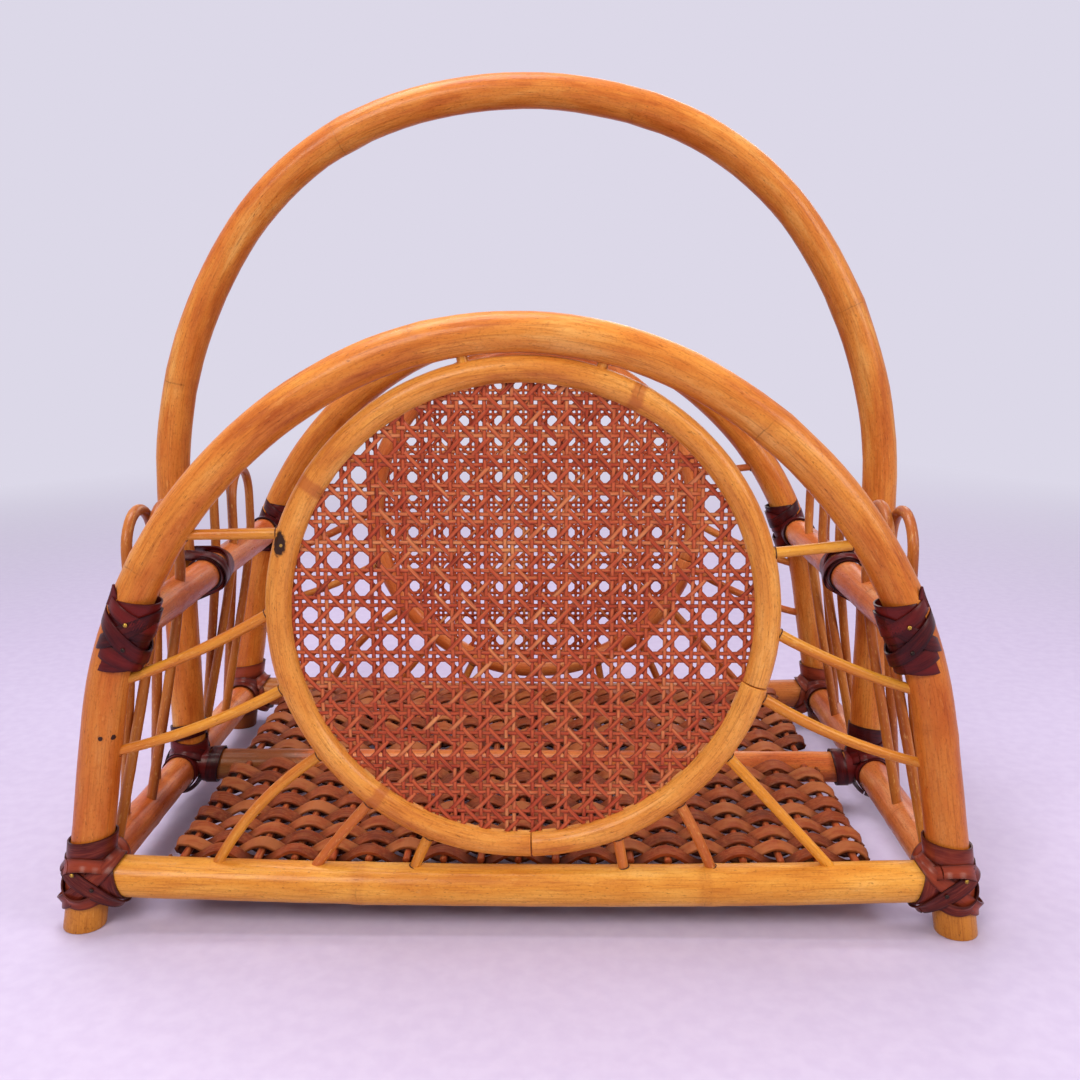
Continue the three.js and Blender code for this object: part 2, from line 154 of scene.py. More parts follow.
def primitive(
    name: str,
    operator: Callable[..., object],
    stretch: tuple[float, float, float] | None = None,
    **settings: object,
) -> Piece:
    """Adds a primitive at its size and place and bakes both into its mesh.

    Args:
        name: The name of the new piece.
        operator: The operator that adds the primitive.
        stretch: How far the primitive is stretched along the three axes.
        **settings: The operator's settings by name.

    Returns:
        The new piece.
    """
    deselect()
    operator(**settings)
    if stretch:
        bpy.ops.transform.resize(value=stretch)
    bpy.ops.object.transform_apply(location=True, rotation=True, scale=True)
    return renamed(name)


def places(piece: Piece) -> np.ndarray:
    """Returns the piece's points as rows of x, y and z in metres."""
    flat = np.empty(3 * len(piece.data.vertices), np.float32)
    piece.data.vertices.foreach_get("co", flat)
    return flat.reshape(-1, 3)


def edge_ends(piece: Piece) -> np.ndarray:
    """Returns the two ends of every edge, as an array of edge, end and axis."""
    pairs = np.empty(2 * len(piece.data.edges), np.int32)
    piece.data.edges.foreach_get("vertices", pairs)
    return places(piece)[pairs.reshape(-1, 2)]


def lengthwise(piece: Piece, least: float) -> np.ndarray:
    """Returns which edges reach further than a length along the x axis."""
    ends = edge_ends(piece)
    return np.abs(ends[:, 0, 0] - ends[:, 1, 0]) > least


@contextmanager
def editing(
    piece: Piece, chosen: np.ndarray | None = None, part: Part = Part.POINTS
) -> Iterator[None]:
    """Opens a piece in edit mode with some of it selected, and closes it again.

    Args:
        piece: The piece to edit.
        chosen: One truth value for each point or edge, or nothing to choose them all.
        part: Whether points or edges are chosen.
    """
    pick(piece)
    mesh = piece.data
    for items in (mesh.polygons, mesh.edges, mesh.vertices):
        items.foreach_set("select", np.zeros(len(items), bool))
    items = mesh.vertices if part is Part.POINTS else mesh.edges
    items.foreach_set("select", np.ones(len(items), bool) if chosen is None else chosen)
    bpy.context.tool_settings.mesh_select_mode = part.value
    bpy.ops.object.mode_set(mode="EDIT")
    yield
    deselect()


def finish_modifier(piece: Piece, kind: str, **settings: object) -> None:
    """Adds one modifier with its settings and applies it.

    Args:
        piece: The piece that the modifier shapes.
        kind: Blender's name for the modifier.
        **settings: The modifier's settings by name.
    """
    modifier = piece.modifiers.new(kind.title(), kind)
    for key, value in settings.items():
        setattr(modifier, key, value)
    pick(piece)
    bpy.ops.object.modifier_apply(modifier=modifier.name)


def shift(piece: Piece, by: Vector) -> None:
    """Moves a whole piece and bakes the move into its mesh."""
    pick(piece)
    piece.location = by
    bpy.ops.object.transform_apply(location=True, rotation=False, scale=False)


def turn(piece: Piece, place: Matrix) -> None:
    """Turns and moves a whole piece by a matrix and bakes it into its mesh."""
    pick(piece)
    piece.matrix_world = place
    bpy.ops.object.transform_apply(location=True, rotation=True, scale=True)


def smooth(piece: Piece, degrees: float = 50) -> Piece:
    """Shades a piece smooth, except where its faces meet at more than an angle."""
    pick(piece)
    bpy.ops.object.shade_smooth_by_angle(angle=math.radians(degrees))
    return piece


def facing(out: Vector, at: Vector) -> Matrix:
    """Returns the matrix that turns the z axis into a direction and moves to a place."""
    place = out.to_track_quat("Z", "Y").to_matrix().to_4x4()
    place.translation = at
    return place


def framed(axes: tuple[Vector, Vector, Vector], at: Vector) -> Matrix:
    """Returns the matrix with these x, y and z axes and this origin."""
    place = Matrix(axes).transposed().to_4x4()
    place.translation = at
    return place


def copied(piece: Piece, name: str) -> Piece:
    """Returns a copy of a piece with its own mesh."""
    pick(piece)
    bpy.ops.object.duplicate(linked=False)
    return renamed(name)


def joined(pieces: list[Piece], name: str) -> Piece:
    """Joins pieces into one object.

    Args:
        pieces: The pieces, the first of which takes in the rest.
        name: The name of the whole.

    Returns:
        The joined piece.
    """
    pick(pieces[0])
    for piece in pieces:
        piece.select_set(True)
    if len(pieces) > 1:
        bpy.ops.object.join()
    return renamed(name)


def drop(piece: Piece) -> None:
    """Deletes a helper."""
    pick(piece)
    bpy.ops.object.delete()


def store(piece: Piece, name: str, values: np.ndarray | float) -> None:
    """Keeps a number or a vector for each point under a name that a material can read.

    Args:
        piece: The piece that carries the values.
        name: The attribute's name.
        values: One value for each point, or one for them all.
    """
    values = values if isinstance(values, np.ndarray) else np.full(len(places(piece)), values)
    old = piece.data.attributes.get(name)
    if old is not None:
        piece.data.attributes.remove(old)
    kind, key = ("FLOAT", "value") if values.ndim == 1 else ("FLOAT_VECTOR", "vector")
    made = piece.data.attributes.new(name, kind, "POINT")
    made.data.foreach_set(key, values.astype(np.float32).ravel())


def bend(
    piece: Piece, path: list[Vector], widths: list[float] | None = None, upright: bool = False
) -> None:
    """Bends a piece that lies along the x axis round a path, as a pole is bent over a form.

    Args:
        piece: The piece, from x = 0 to the path's length.
        path: The points of the path in metres.
        widths: How thick the piece is at each point, as a share of its own size.
        upright: Whether the piece's z axis stays up, for a strip in a flat loop.
    """
    curve = bpy.data.curves.new("bending_form", "CURVE")
    curve.dimensions = "3D"
    curve.twist_mode = "Z_UP" if upright else "MINIMUM"
    curve.use_radius = True
    curve.use_deform_bounds = False
    spline = curve.splines.new("POLY")
    spline.points.add(len(path) - 1)
    for i, place in enumerate(path):
        spline.points[i].co = (*place, 1)
        spline.points[i].radius = widths[i] if widths else 1
    form = bpy.data.objects.new("bending_form", curve)
    bpy.context.scene.collection.objects.link(form)
    finish_modifier(piece, "CURVE", object=form, deform_axis="POS_X")
    drop(form)


def path_length(path: list[Vector]) -> float:
    """Returns the length of a path."""
    return sum((b - a).length for a, b in zip(path, path[1:]))


def evenly(path: list[Vector], number: int) -> list[Vector]:
    """Returns a number of points at even distances along a path, both its ends with them."""
    corners = np.array([tuple(p) for p in path])
    along = np.concatenate([[0], np.cumsum(np.linalg.norm(np.diff(corners, axis=0), axis=1))])
    wanted = np.linspace(0, along[-1], number)
    columns = [np.interp(wanted, along, corners[:, axis]) for axis in range(3)]
    return [Vector(row) for row in zip(*columns)]


def rounded(corners: list[Vector], rounds: int = 3) -> list[Vector]:
    """Cuts the corners of a path again and again, until it runs smooth.

    Args:
        corners: The points of the path.
        rounds: How often the corners are cut.

    Returns:
        The smooth path, with the same two ends.
    """
    path = corners
    for _ in range(rounds):
        cut = [path[0]]
        for a, b in zip(path, path[1:]):
            cut += [a.lerp(b, 0.25), a.lerp(b, 0.75)]
        path = [*cut, path[-1]]
    return path


@dataclass
class Pole:
    """A round length of rattan, modelled straight, marked with its grain and then bent."""

    name: str
    path: list[Vector]
    diameter: float
    seed: int
    sides: int = 24
    steps: int = 64
    widths: list[float] | None = None
    first_node: float = 60.0
    node_margin: float = 10.0
    node_swell: float = 1.025
    unevenness: float = 0.6
    hollow_size: float = 28.0
    end_rounding: float = 1.0

    def build(self) -> Piece:
        """Models the pole and returns it."""
        length = path_length(self.path)
        start = self.seed * GRAIN_STRIDE * NODE_SPACING - self.first_node * MM
        end = start + length
        piece = self._straight(start, length)
        xs = edge_ends(piece)[:, :, 0]
        sawn = (xs < start + NEAR).all(axis=1) | (xs > end - NEAR).all(axis=1)
        with editing(piece, sawn, Part.EDGES):
            bpy.ops.mesh.bevel(offset=self.end_rounding * MM, segments=2)
        self._swell_nodes(piece, start, end)
        # Shallow hollows and swellings, as a grown stem has them.
        hollows = bpy.data.textures.new(self.name + "_unevenness", "CLOUDS")
        hollows.noise_scale = self.hollow_size * MM
        depth = {"strength": self.unevenness * MM, "mid_level": 0.5}
        finish_modifier(piece, "DISPLACE", texture=hollows, texture_coords="LOCAL", **depth)
        store(piece, "grain", places(piece))
        shift(piece, Vector((-start, 0, 0)))
        bend(piece, self.path, self.widths)
        return smooth(piece)

    def _straight(self, start: float, length: float) -> Piece:
        """Adds a cylinder along the x axis and cuts its sides into even rings.

        Args:
            start: The x of its near end in metres.
            length: Its length in metres.

        Returns:
            The straight pole.
        """
        piece = primitive(
            self.name,
            bpy.ops.mesh.primitive_cylinder_add,
            vertices=self.sides,
            radius=self.diameter / 2 * MM,
            depth=length,
            location=(start + length / 2, 0, 0),
            rotation=(0, math.pi / 2, 0),
        )
        with editing(piece, lengthwise(piece, length / 2), Part.EDGES):
            bpy.ops.mesh.subdivide(number_cuts=self.steps - 1)
        return piece

    def _swell_nodes(self, piece: Piece, start: float, end: float) -> None:
        """Thickens the ring of points that is nearest to each node.

        Args:
            piece: The straight pole.
            start: The x of its near end in metres.
            end: The x of its far end.
        """
        xs = places(piece)[:, 0]
        margin = self.node_margin * MM
        first = math.ceil((start + margin) / NODE_SPACING)
        last = math.floor((end - margin) / NODE_SPACING)
        swell = (1, self.node_swell, self.node_swell)
        for step in range(first, last + 1):
            near = xs[np.argmin(np.abs(xs - step * NODE_SPACING))]
            with editing(piece, np.abs(xs - near) < NEAR):
                bpy.ops.transform.resize(value=swell, center_override=(near, 0, 0))


# Finishes, each with the look that its material and its making give it.


def linear(code: str) -> tuple[float, float, float, float]:
    """Turns an sRGB hex colour into linear red, green, blue and a full alpha."""
    parts = [int(code[i : i + 2], 16) / 255 for i in (1, 3, 5)]
    red, green, blue = (p / 12.92 if p <= 0.04045 else ((p + 0.055) / 1.055) ** 2.4 for p in parts)
    return red, green, blue, 1.0


def add(
    tree: Tree,
    kind: str,
    inputs: dict[str | int, object] | None = None,
    out: str | int = 0,
    stops: list[tuple[float, str]] | None = None,
    **settings: object,
) -> Socket:
    """Adds a node with its settings, its input values and its links.

    Args:
        tree: The node tree.
        kind: Blender's name for the node, without ShaderNode in front.
        inputs: A value or another node's output for each named or numbered input.
        out: The name or number of the output that is wanted.
        stops: The places and sRGB colours of a colour ramp.
        **settings: The node's own settings by name.

    Returns:
        The wanted output.
    """
    node = tree.nodes.new("ShaderNode" + kind)
    for key, value in settings.items():
        setattr(node, key, value)
    for key, value in (inputs or {}).items():
        if isinstance(value, Socket):
            tree.links.new(value, node.inputs[key])
        else:
            node.inputs[key].default_value = value
    if stops:
        elements = node.color_ramp.elements
        while len(elements) < len(stops):
            elements.new(0.5)
        for element, (place, code) in zip(elements, stops):
            element.position = place
            element.color = linear(code)
    return node.outputs[out]


def per(*sizes: float) -> tuple[float, ...]:
    """Returns the scale that makes a pattern's features these sizes in millimetres."""
    return tuple(1 / (size * MM) for size in sizes)


def started(name: str, **settings: float) -> tuple[Material, Tree]:
    """Starts a material and sets the values that are the same all over its surface.

    Args:
        name: The material's name.
        **settings: The shader's values, with underscores for the spaces in their names.

    Returns:
        The material and its node tree.
    """
    made = bpy.data.materials.new(name)
    made.use_nodes = True
    shader = made.node_tree.nodes["Principled BSDF"]
    for key, value in settings.items():
        shader.inputs[key.replace("_", " ")].default_value = value
    return made, made.node_tree


def feed(tree: Tree, patterns: dict[str, Socket]) -> None:
    """Links patterns to the named inputs of a material's shader."""
    for key, pattern in patterns.items():
        tree.links.new(pattern, tree.nodes["Principled BSDF"].inputs[key])


@dataclass(frozen=True)
class Grain:
    """Marks that run with the stem: their length and width in millimetres, how finely they
    break up, the noise values between which they come in, their strength and colour."""

    length: float
    width: float
    detail: float
    low: float = 0.0
    high: float = 1.0
    most: float = 1.0
    colour: str = "#ffffff"
    roughness: float = 0.62

    def pattern(self, tree: Tree, grain: Socket) -> Socket:
        """Returns the stretched noise that the marks are cut from."""
        size = per(self.length, self.width, self.width)
        scaled = add(tree, "Mapping", {"Vector": grain, "Scale": size})
        broken = {"Scale": 1.0, "Detail": self.detail, "Roughness": self.roughness}
        return add(tree, "TexNoise", {"Vector": scaled, **broken})

    def over(self, tree: Tree, pattern: Socket, under: Socket) -> Socket:
        """Returns a colour with the marks laid over it."""
        mask = {0: pattern, 1: self.low, 2: self.high, 3: 0.0, 4: self.most}
        laid = {0: add(tree, "MapRange", mask), 6: under, 7: linear(self.colour)}
        return add(tree, "Mix", laid, 2, data_type="RGBA")


@dataclass(frozen=True)
class Mark:
    """A burnt, stained or nailed place on a pole, in millimetres of the part's own frame."""

    centre: tuple[float, float, float]
    reach: float
    ragged: float
    upward: float = 1.0
    colour: str = "#1d0d10"
    most: float = 0.97
    speck: float = 1.8
    fade: tuple[float, float] = (0.86, 1.06)

    def over(self, tree: Tree, under: Socket) -> Socket:
        """Returns a colour with this mark on it, which is longer upward and ragged.

        Args:
            tree: The node tree.
            under: The colour under the mark.

        Returns:
            The marked colour.
        """
        here = add(tree, "TexCoord", out="Object")
        shape = (1.0, 1.0, 1 / self.upward)
        squat = add(tree, "Mapping", {"Vector": here, "Scale": shape})
        middle = tuple(v * s * MM for v, s in zip(self.centre, shape))
        away = add(tree, "VectorMath", {0: squat, 1: middle}, "Value", operation="DISTANCE")
        noise = add(tree, "TexNoise", {"Vector": here, "Scale": per(self.speck)[0]})
        ragged = {0: noise, 1: self.ragged * MM, 2: away}
        edge = add(tree, "Math", ragged, operation="MULTIPLY_ADD")
        reach = (self.reach + self.ragged / 2) * MM
        full, none = (reach * share for share in self.fade)
        mask = add(tree, "MapRange", {0: edge, 1: full, 2: none, 3: self.most, 4: 0.0})
        laid = {0: mask, 6: under, 7: linear(self.colour)}
        return add(tree, "Mix", laid, 2, data_type="RGBA")


@dataclass(frozen=True)
class Stem:
    """A grown stem under varnish: patches of four tones, from dark to pale, run along it, and
    finer marks lie over them, dull the varnish in places and stand out a little."""

    name: str
    tones: tuple[str, str, str, str]
    stops: tuple[float, float, float, float] = (0.3, 0.44, 0.54, 0.7)
    patch: Grain = Grain(110, 14, 2)
    specular: float = 0.2
    coat: float = 0.15
    coat_roughness: float = 0.18
    smoothest: float = 0.3
    dullest: float = 0.5
    dulled_by: int = 1
    relief: tuple[tuple[int, float, float], ...] = ((1, 0.3, 0.3),)

    def grains(self) -> tuple[Grain, ...]:
        """Returns the finer marks, in the order in which they lie over one another."""
        raise NotImplementedError

    def stained(self, tree: Tree, colour: Socket) -> Socket:
        """Returns the patches' colour with what lies under the finer marks."""
        return colour

    def marked(self, tree: Tree, grain: Socket, patch: Socket, colour: Socket) -> Socket:
        """Returns the colour with what lies over the finer marks."""
        return colour

    def material(self) -> Material:
        """Builds the material and returns it."""
        made, tree = started(
            self.name,
            IOR=1.5,
            Specular_IOR_Level=self.specular,
            Coat_Weight=self.coat,
            Coat_Roughness=self.coat_roughness,
        )
        grain = add(tree, "Attribute", out="Vector", attribute_name="grain")
        patch = self.patch.pattern(tree, grain)
        tones = list(zip(self.stops, self.tones))
        colour = self.stained(tree, add(tree, "ValToRGB", {0: patch}, stops=tones))
        patterns = []
        for kind in self.grains():
            patterns.append(kind.pattern(tree, grain))
            colour = kind.over(tree, patterns[-1], colour)
        colour = self.marked(tree, grain, patch, colour)
        gloss = {0: patterns[self.dulled_by], 1: 0.3, 2: 0.7, 3: self.smoothest, 4: self.dullest}
        normal: dict[str, Socket] = {}
        for number, strength, depth in self.relief:
            raised = {"Height": patterns[number], "Strength": strength, "Distance": depth * MM}
            normal = {"Normal": add(tree, "Bump", {**raised, **normal})}
        feed(tree, {"Base Color": colour, "Roughness": add(tree, "MapRange", gloss), **normal})
        return made


@dataclass(frozen=True)
class VarnishedRattan(Stem):
    """Bent rattan pole, skin on, sanded and varnished: amber and honey patches that run with
    the stem, fine dark fibres and short pores, faint broken rings at the nodes, clear gloss."""

    # Patches of colour are about 60 mm long and go a third of the way round.
    stops: tuple[float, float, float, float] = (0.3, 0.43, 0.57, 0.74)
    patch: Grain = Grain(60, 12, 5)
    specular: float = 0.14
    coat: float = 0.16
    coat_roughness: float = 0.16
    smoothest: float = 0.26
    dulled_by: int = 3
    relief: tuple[tuple[int, float, float], ...] = ((0, 0.35, 0.4), (2, 0.25, 0.3))
    fibre: str = "#84380c"
    pore: str = "#431a08"
    node_band: str = "#9a4a14"
    node_width: float = 4.0
    node_share: float = 0.16
    node_waver: float = 6.0
    # Painted shade over the lower legs, and the feet's colour: worn wood at the front, a painted
    # shadow at the rear.
    leg: str = ""
    foot: str = ""
    marks: tuple[Mark, ...] = ()

    def grains(self) -> tuple[Grain, ...]:
        """Returns the fibres, pores, freckles and scuffs of the sanded skin.

        Fibres are 0.3 mm wide; they are drawn 0.8 mm wide and 22 mm long, so that they show.
        Pores are short dashes, freckles are the stipple of the sanded skin and scuffs are
        pale places in the varnish.
        """
        return (
            Grain(22, 0.8, 4, 0.5, 0.74, 0.55, self.fibre),
            Grain(3.2, 0.8, 2, 0.62, 0.76, 0.6, self.pore),
            Grain(1.6, 1.1, 2, 0.52, 0.72, 0.3, self.fibre),
            Grain(9, 2, 3, 0.62, 0.8, 0.5, self.tones[-1]),
        )

    def stained(self, tree: Tree, colour: Socket) -> Socket:
        """Makes a bent pole's legs redder than its crown, a painted shade, and colours its feet:
        worn wood on the front arch and a painted shadow on the rear arch.

        Args:
            tree: The node tree.
            colour: The colour of the patches.

        Returns:
            The colour with the painted leg shade and the foot colour, or the same one where the
            pole has no leg of its own.
        """
        if not self.leg:
            return colour
        height = add(tree, "SeparateXYZ", {0: add(tree, "TexCoord", out="Object")}, "Z")
        # Painted shade: the legs redden from 250 mm down to 130 mm, and below 19 mm the foot colour
        # comes in.
        for full, none, most, code in ((130, 250, 0.4, self.leg), (13, 19, 0.7, self.foot)):
            mask = {0: height, 1: full * MM, 2: none * MM, 3: most, 4: 0.0}
            laid = {0: add(tree, "MapRange", mask), 6: colour, 7: linear(code)}
            colour = add(tree, "Mix", laid, 2, data_type="RGBA")
        return colour

    def marked(self, tree: Tree, grain: Socket, patch: Socket, colour: Socket) -> Socket:
        """Draws the nodes, which waver round the stem and fade in places, and the marks.

        Args:
            tree: The node tree.
            grain: The coordinates along and across the stem.
            patch: The noise that bends and fades the nodes.
            colour: The colour under them.

        Returns:
            The colour with a soft band and a broken hairline at each node, and every mark.
        """
        along = add(tree, "SeparateXYZ", {0: grain}, "X")
        wavering = {0: patch, 1: self.node_waver * MM, 2: along}
        waver = add(tree, "Math", wavering, operation="MULTIPLY_ADD")
        away = add(tree, "Math", {0: waver, 1: NODE_SPACING / 2}, operation="PINGPONG")
        fade = add(tree, "MapRange", {0: patch, 1: 0.46, 2: 0.68, 3: 0.0, 4: 1.0})
        width = self.node_width * MM
        near = {0: away, 1: 0.6 * width, 2: width, 3: self.node_share, 4: 0.0}
        band = add(tree, "MapRange", near)
        line = add(tree, "MapRange", {0: away, 1: 0.1 * MM, 2: 0.55 * MM, 3: 0.5, 4: 0.0})
        line = add(tree, "Math", {0: line, 1: fade}, operation="MULTIPLY")
        for mask, code in ((band, self.node_band), (line, self.pore)):
            laid = {0: mask, 6: colour, 7: linear(code)}
            colour = add(tree, "Mix", laid, 2, data_type="RGBA")
        for mark in self.marks:
            colour = mark.over(tree, colour)
        return colour


@dataclass(frozen=True)
class PeeledCane(Stem):
    """Thin cane with its skin peeled and clear-varnished: straw to orange from one length to
    the next, a hand's breadth or more in one tone, with faint streaks and a satin shine."""

    def grains(self) -> tuple[Grain, ...]:
        """Returns the streaks, which are a millimetre wide, and the short flecks and pores."""
        return (
            Grain(30, 1.1, 4, 0.46, 0.74, 0.55, "#98480f"),
            Grain(4, 1.3, 3, 0.56, 0.74, 0.5, "#e5b468"),
            Grain(2.5, 0.8, 2, 0.64, 0.76, 0.6, "#5c260c"),
        )


@dataclass(frozen=True)
class StrandFinish:
    """Split cane or reed, stained and woven: each strand has a tone of its own that wanders
    along it, from dark to a pale place that missed the stain, and rounded edges that are
    painted darker, a painted shade. The low places of a floor, between the two heights of
    hollows, are painted dark too: painted shade under the reeds that lie over them."""

    name: str
    tones: tuple[tuple[float, str], ...]
    streaks: Grain
    # The colour of the painted shade at a strand's edges, and how much of it.
    edge: str
    edge_shade_share: float
    edge_depth: float
    roughness: float
    coat: float
    # The heights below which a floor is painted dark as shade, and how dark.
    hollows: tuple[float, float] | None = None
    hollow_shade_share: float = 0.85

    def material(self) -> Material:
        """Builds the material and returns it."""
        made, tree = started(
            self.name,
            Roughness=self.roughness,
            IOR=1.5,
            Specular_IOR_Level=0.12,
            Coat_Weight=self.coat,
            Coat_Roughness=0.2,
        )
        grain = add(tree, "Attribute", out="Vector", attribute_name="grain")
        tone, edge = (add(tree, "Attribute", out="Fac", attribute_name=n) for n in ("tone", "edge"))
        # The stain took differently every 16 mm or so.
        wander = Grain(16, 5, 2).pattern(tree, grain)
        own = add(tree, "Math", {0: tone, 1: 0.45}, operation="MULTIPLY")
        share = add(tree, "Math", {0: wander, 1: 0.8, 2: own}, operation="MULTIPLY_ADD")
        colour = add(tree, "ValToRGB", {0: share}, stops=list(self.tones))
        streak = self.streaks.pattern(tree, grain)
        colour = self.streaks.over(tree, streak, colour)
        relief = {"Height": streak, "Strength": 0.3, "Distance": 0.25 * MM}
        normal = add(tree, "Bump", relief)

        # The strip is crowned, so it falls away towards both long edges, and its colour there is
        # painted darker: a painted shade at the edges.
        fall = add(tree, "Math", {0: edge, 1: 3.0}, operation="POWER")
        masks = [add(tree, "Math", {0: fall, 1: self.edge_shade_share}, operation="MULTIPLY")]
        # Painted shade: a floor darkens below the upper height, fully below the lower one, where
        # reeds and stakes lie under others.
        if self.hollows:
            height = add(tree, "SeparateXYZ", {0: add(tree, "TexCoord", out="Object")}, "Z")
            low, high = (z * MM for z in self.hollows)
            painted_low_shade = {0: height, 1: low, 2: high, 3: self.hollow_shade_share, 4: 0.0}
            masks.append(add(tree, "MapRange", painted_low_shade))
        for mask in masks:
            laid = {0: mask, 6: colour, 7: linear(self.edge)}
            colour = add(tree, "Mix", laid, 2, data_type="RGBA")
        level = add(tree, "Math", {0: 1.0, 1: fall}, operation="SUBTRACT")
        crown = {"Height": level, "Strength": 0.7, "Distance": self.edge_depth * MM}
        crowned = add(tree, "Bump", {**crown, "Normal": normal})
        feed(tree, {"Base Color": colour, "Normal": crowned})
        return made


@dataclass(frozen=True)
class SmallTrim:
    """A drawn pin or a burnt rim: yellow in brass, dark in iron, and dull where it is wood."""

    name: str
    colour: str
    worn: str
    roughness: float
    metallic: float = 1.0
    speck: float = 0.8

    def material(self) -> Material:
        """Builds the material and returns it."""
        made, tree = started(self.name, Metallic=self.metallic, Roughness=self.roughness)
        here = add(tree, "TexCoord", out="Object")
        wear = add(tree, "TexNoise", {"Vector": here, "Scale": per(self.speck)[0]})
        tones = [(0.4, self.colour), (0.65, self.worn)]
        feed(tree, {"Base Color": add(tree, "ValToRGB", {0: wear}, stops=tones)})
        return made


Finish = Stem | StrandFinish | SmallTrim

POLE = VarnishedRattan("varnished_rattan_pole", ("#a8521c", "#c46e2a", "#d28438", "#e2a65a"))
# The leg colour is painted shade on the lower legs, and the foot colour is the worn sawn ends.
ARCH = VarnishedRattan(
    "varnished_rattan_arch",
    ("#a8521c", "#c8742c", "#d68a3a", "#e2a65a"),
    leg="#aa4814",
    foot="#c0802c",
    marks=(
        Mark((-200.3, -ARCH_Y - 9.6, 103.0), 1.2, 1.3),
        Mark((-195.4, -ARCH_Y - 6.4, 102.5), 1.5, 1.5),
    ),
)
# The rear arch's feet are painted dark brown: a painted shadow.
REAR_ARCH = replace(ARCH, name="varnished_rattan_rear_arch", foot="#562a16", marks=())
RAIL = VarnishedRattan(
    "varnished_rattan_rail", ("#c27628", "#d38b34", "#df9e44", "#ebb464"), fibre="#9a4c14"
)
# A darker, redder copy of the rail finish for the rear base rail: painted shade.
SHADED_REAR_RAIL = VarnishedRattan(
    "varnished_rattan_rear_rail", ("#984a22", "#ae5e2e", "#bc6e36", "#cf9058"), fibre="#7c340f"
)
SIDE_RAIL = VarnishedRattan(
    "varnished_rattan_side_rail", ("#a64a20", "#bf6230", "#cb7640", "#dc9a66"), fibre="#8c3a12"
)
MIDDLE_RAIL = VarnishedRattan(
    "varnished_rattan_middle_rail",
    ("#9c4a22", "#c0602e", "#d2783c", "#e29a56"),
    fibre="#5c2810",
    marks=(Mark((-190.0, 0.0, BASE_HEIGHT), 56.0, 24.0, colour="#4a3012", most=0.6),),
)
RING = VarnishedRattan(
    "varnished_rattan_ring",
    ("#b66428", "#d18436", "#de9846", "#edb468"),
    node_band="#a85428",
    node_width=3.8,
    node_share=0.6,
    marks=(
        Mark((-110.6, -ARCH_Y - 5.8, 198.2), 3.7, 2.4, upward=1.7),
        Mark((-109.6, -ARCH_Y - 6.2, 197.4), 0.8, 0.9, colour="#a8823c"),
    ),
)
CANE = PeeledCane("peeled_cane", ("#b8642a", "#c67828", "#d18c2e", "#dd9f3c"))
RED_CANE = PeeledCane("peeled_cane_red", ("#a85022", "#b8622a", "#c47234", "#d08a48"))
BRIGHT_CANE = PeeledCane("peeled_cane_bright", ("#cc7e24", "#da8e26", "#e49c30", "#edb044"))
# A darker, redder copy of the cane for the rear spokes: painted shade.
SHADED_REAR_CANE = PeeledCane("peeled_cane_rear", ("#a04a20", "#b0582a", "#bd6c2e", "#c98440"))
# A browner, darker copy of the cane for the hairpins: painted shade.
SHADED_SIDE_CANE = PeeledCane("peeled_cane_side", ("#8a4420", "#a25826", "#b46a2c", "#c8823a"))
# The edge colour of each strand finish is painted shade at the strands' edges.
WEBBING = StrandFinish(
    name="stained_split_cane",
    tones=((0.28, "#6c1c14"), (0.42, "#a03a24"), (0.7, "#b45032"), (0.92, "#d08a58")),
    streaks=Grain(18, 0.7, 3, 0.42, 0.72, 0.5, "#cb7040"),
    edge="#380c07",
    edge_shade_share=0.75,
    edge_depth=0.35,
    roughness=0.38,
    coat=0.12,
)
# The reed's edges and its low places are painted dark: painted shade.
REED = StrandFinish(
    name="stained_flat_reed",
    tones=((0.28, "#722c12"), (0.5, "#983f1e"), (0.68, "#b0522a"), (0.85, "#c87442")),
    streaks=Grain(30, 1.0, 3, 0.42, 0.72, 0.55, "#c47a48"),
    edge="#300f06",
    edge_shade_share=0.6,
    edge_depth=0.5,
    roughness=0.5,
    coat=0.05,
    hollows=(29.4, 33.4),
)
BINDING = StrandFinish(
    name="dyed_binding_cane",
    tones=((0.28, "#260508"), (0.5, "#3c0a0d"), (0.85, "#601614")),
    streaks=Grain(14, 0.9, 3, 0.46, 0.74, 0.5, "#6c221b"),
    edge="#160508",
    edge_shade_share=0.6,
    edge_depth=0.7,
    roughness=0.34,
    coat=0.12,
)
WORN_BINDING = replace(
    BINDING,
    name="worn_binding_cane",
    tones=((0.28, "#3c0e0d"), (0.5, "#5c1c15"), (0.85, "#8a3822")),
    streaks=Grain(14, 0.9, 3, 0.46, 0.74, 0.5, "#96482e"),
)
BURNT_RIM = SmallTrim("burnt_hole_rim", "#3d1a0b", "#5a2a12", 0.7, 0.0)
BRASS = SmallTrim("brass_pin", "#c09a45", "#7a5d28", 0.35)
IRON = SmallTrim("iron_nail", "#2a2422", "#4a3b34", 0.55)


@cache
def material_of(finish: Finish) -> Material:
    """Returns the material of a finish, which is made only once."""
    return finish.material()


def coated(piece: Piece, finish: Finish) -> Piece:
    """Gives a piece its finish and returns it."""
    piece.data.materials.append(material_of(finish))
    return piece


def dress(piece: Piece, finish: Finish, node: str) -> None:
    """Gives a piece its finish, if it has none yet, attaches it to the root body and hides the
    solid it stands for.

    Args:
        piece: The finished piece.
        finish: The finish of the whole piece.
        node: The solid that the piece replaces.
    """
    if not piece.data.materials:
        coated(piece, finish)
    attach(piece, "root")
    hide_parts(node)
    LOG.info("%s: %d faces", piece.name, len(piece.data.polygons))


# Poles and canes.


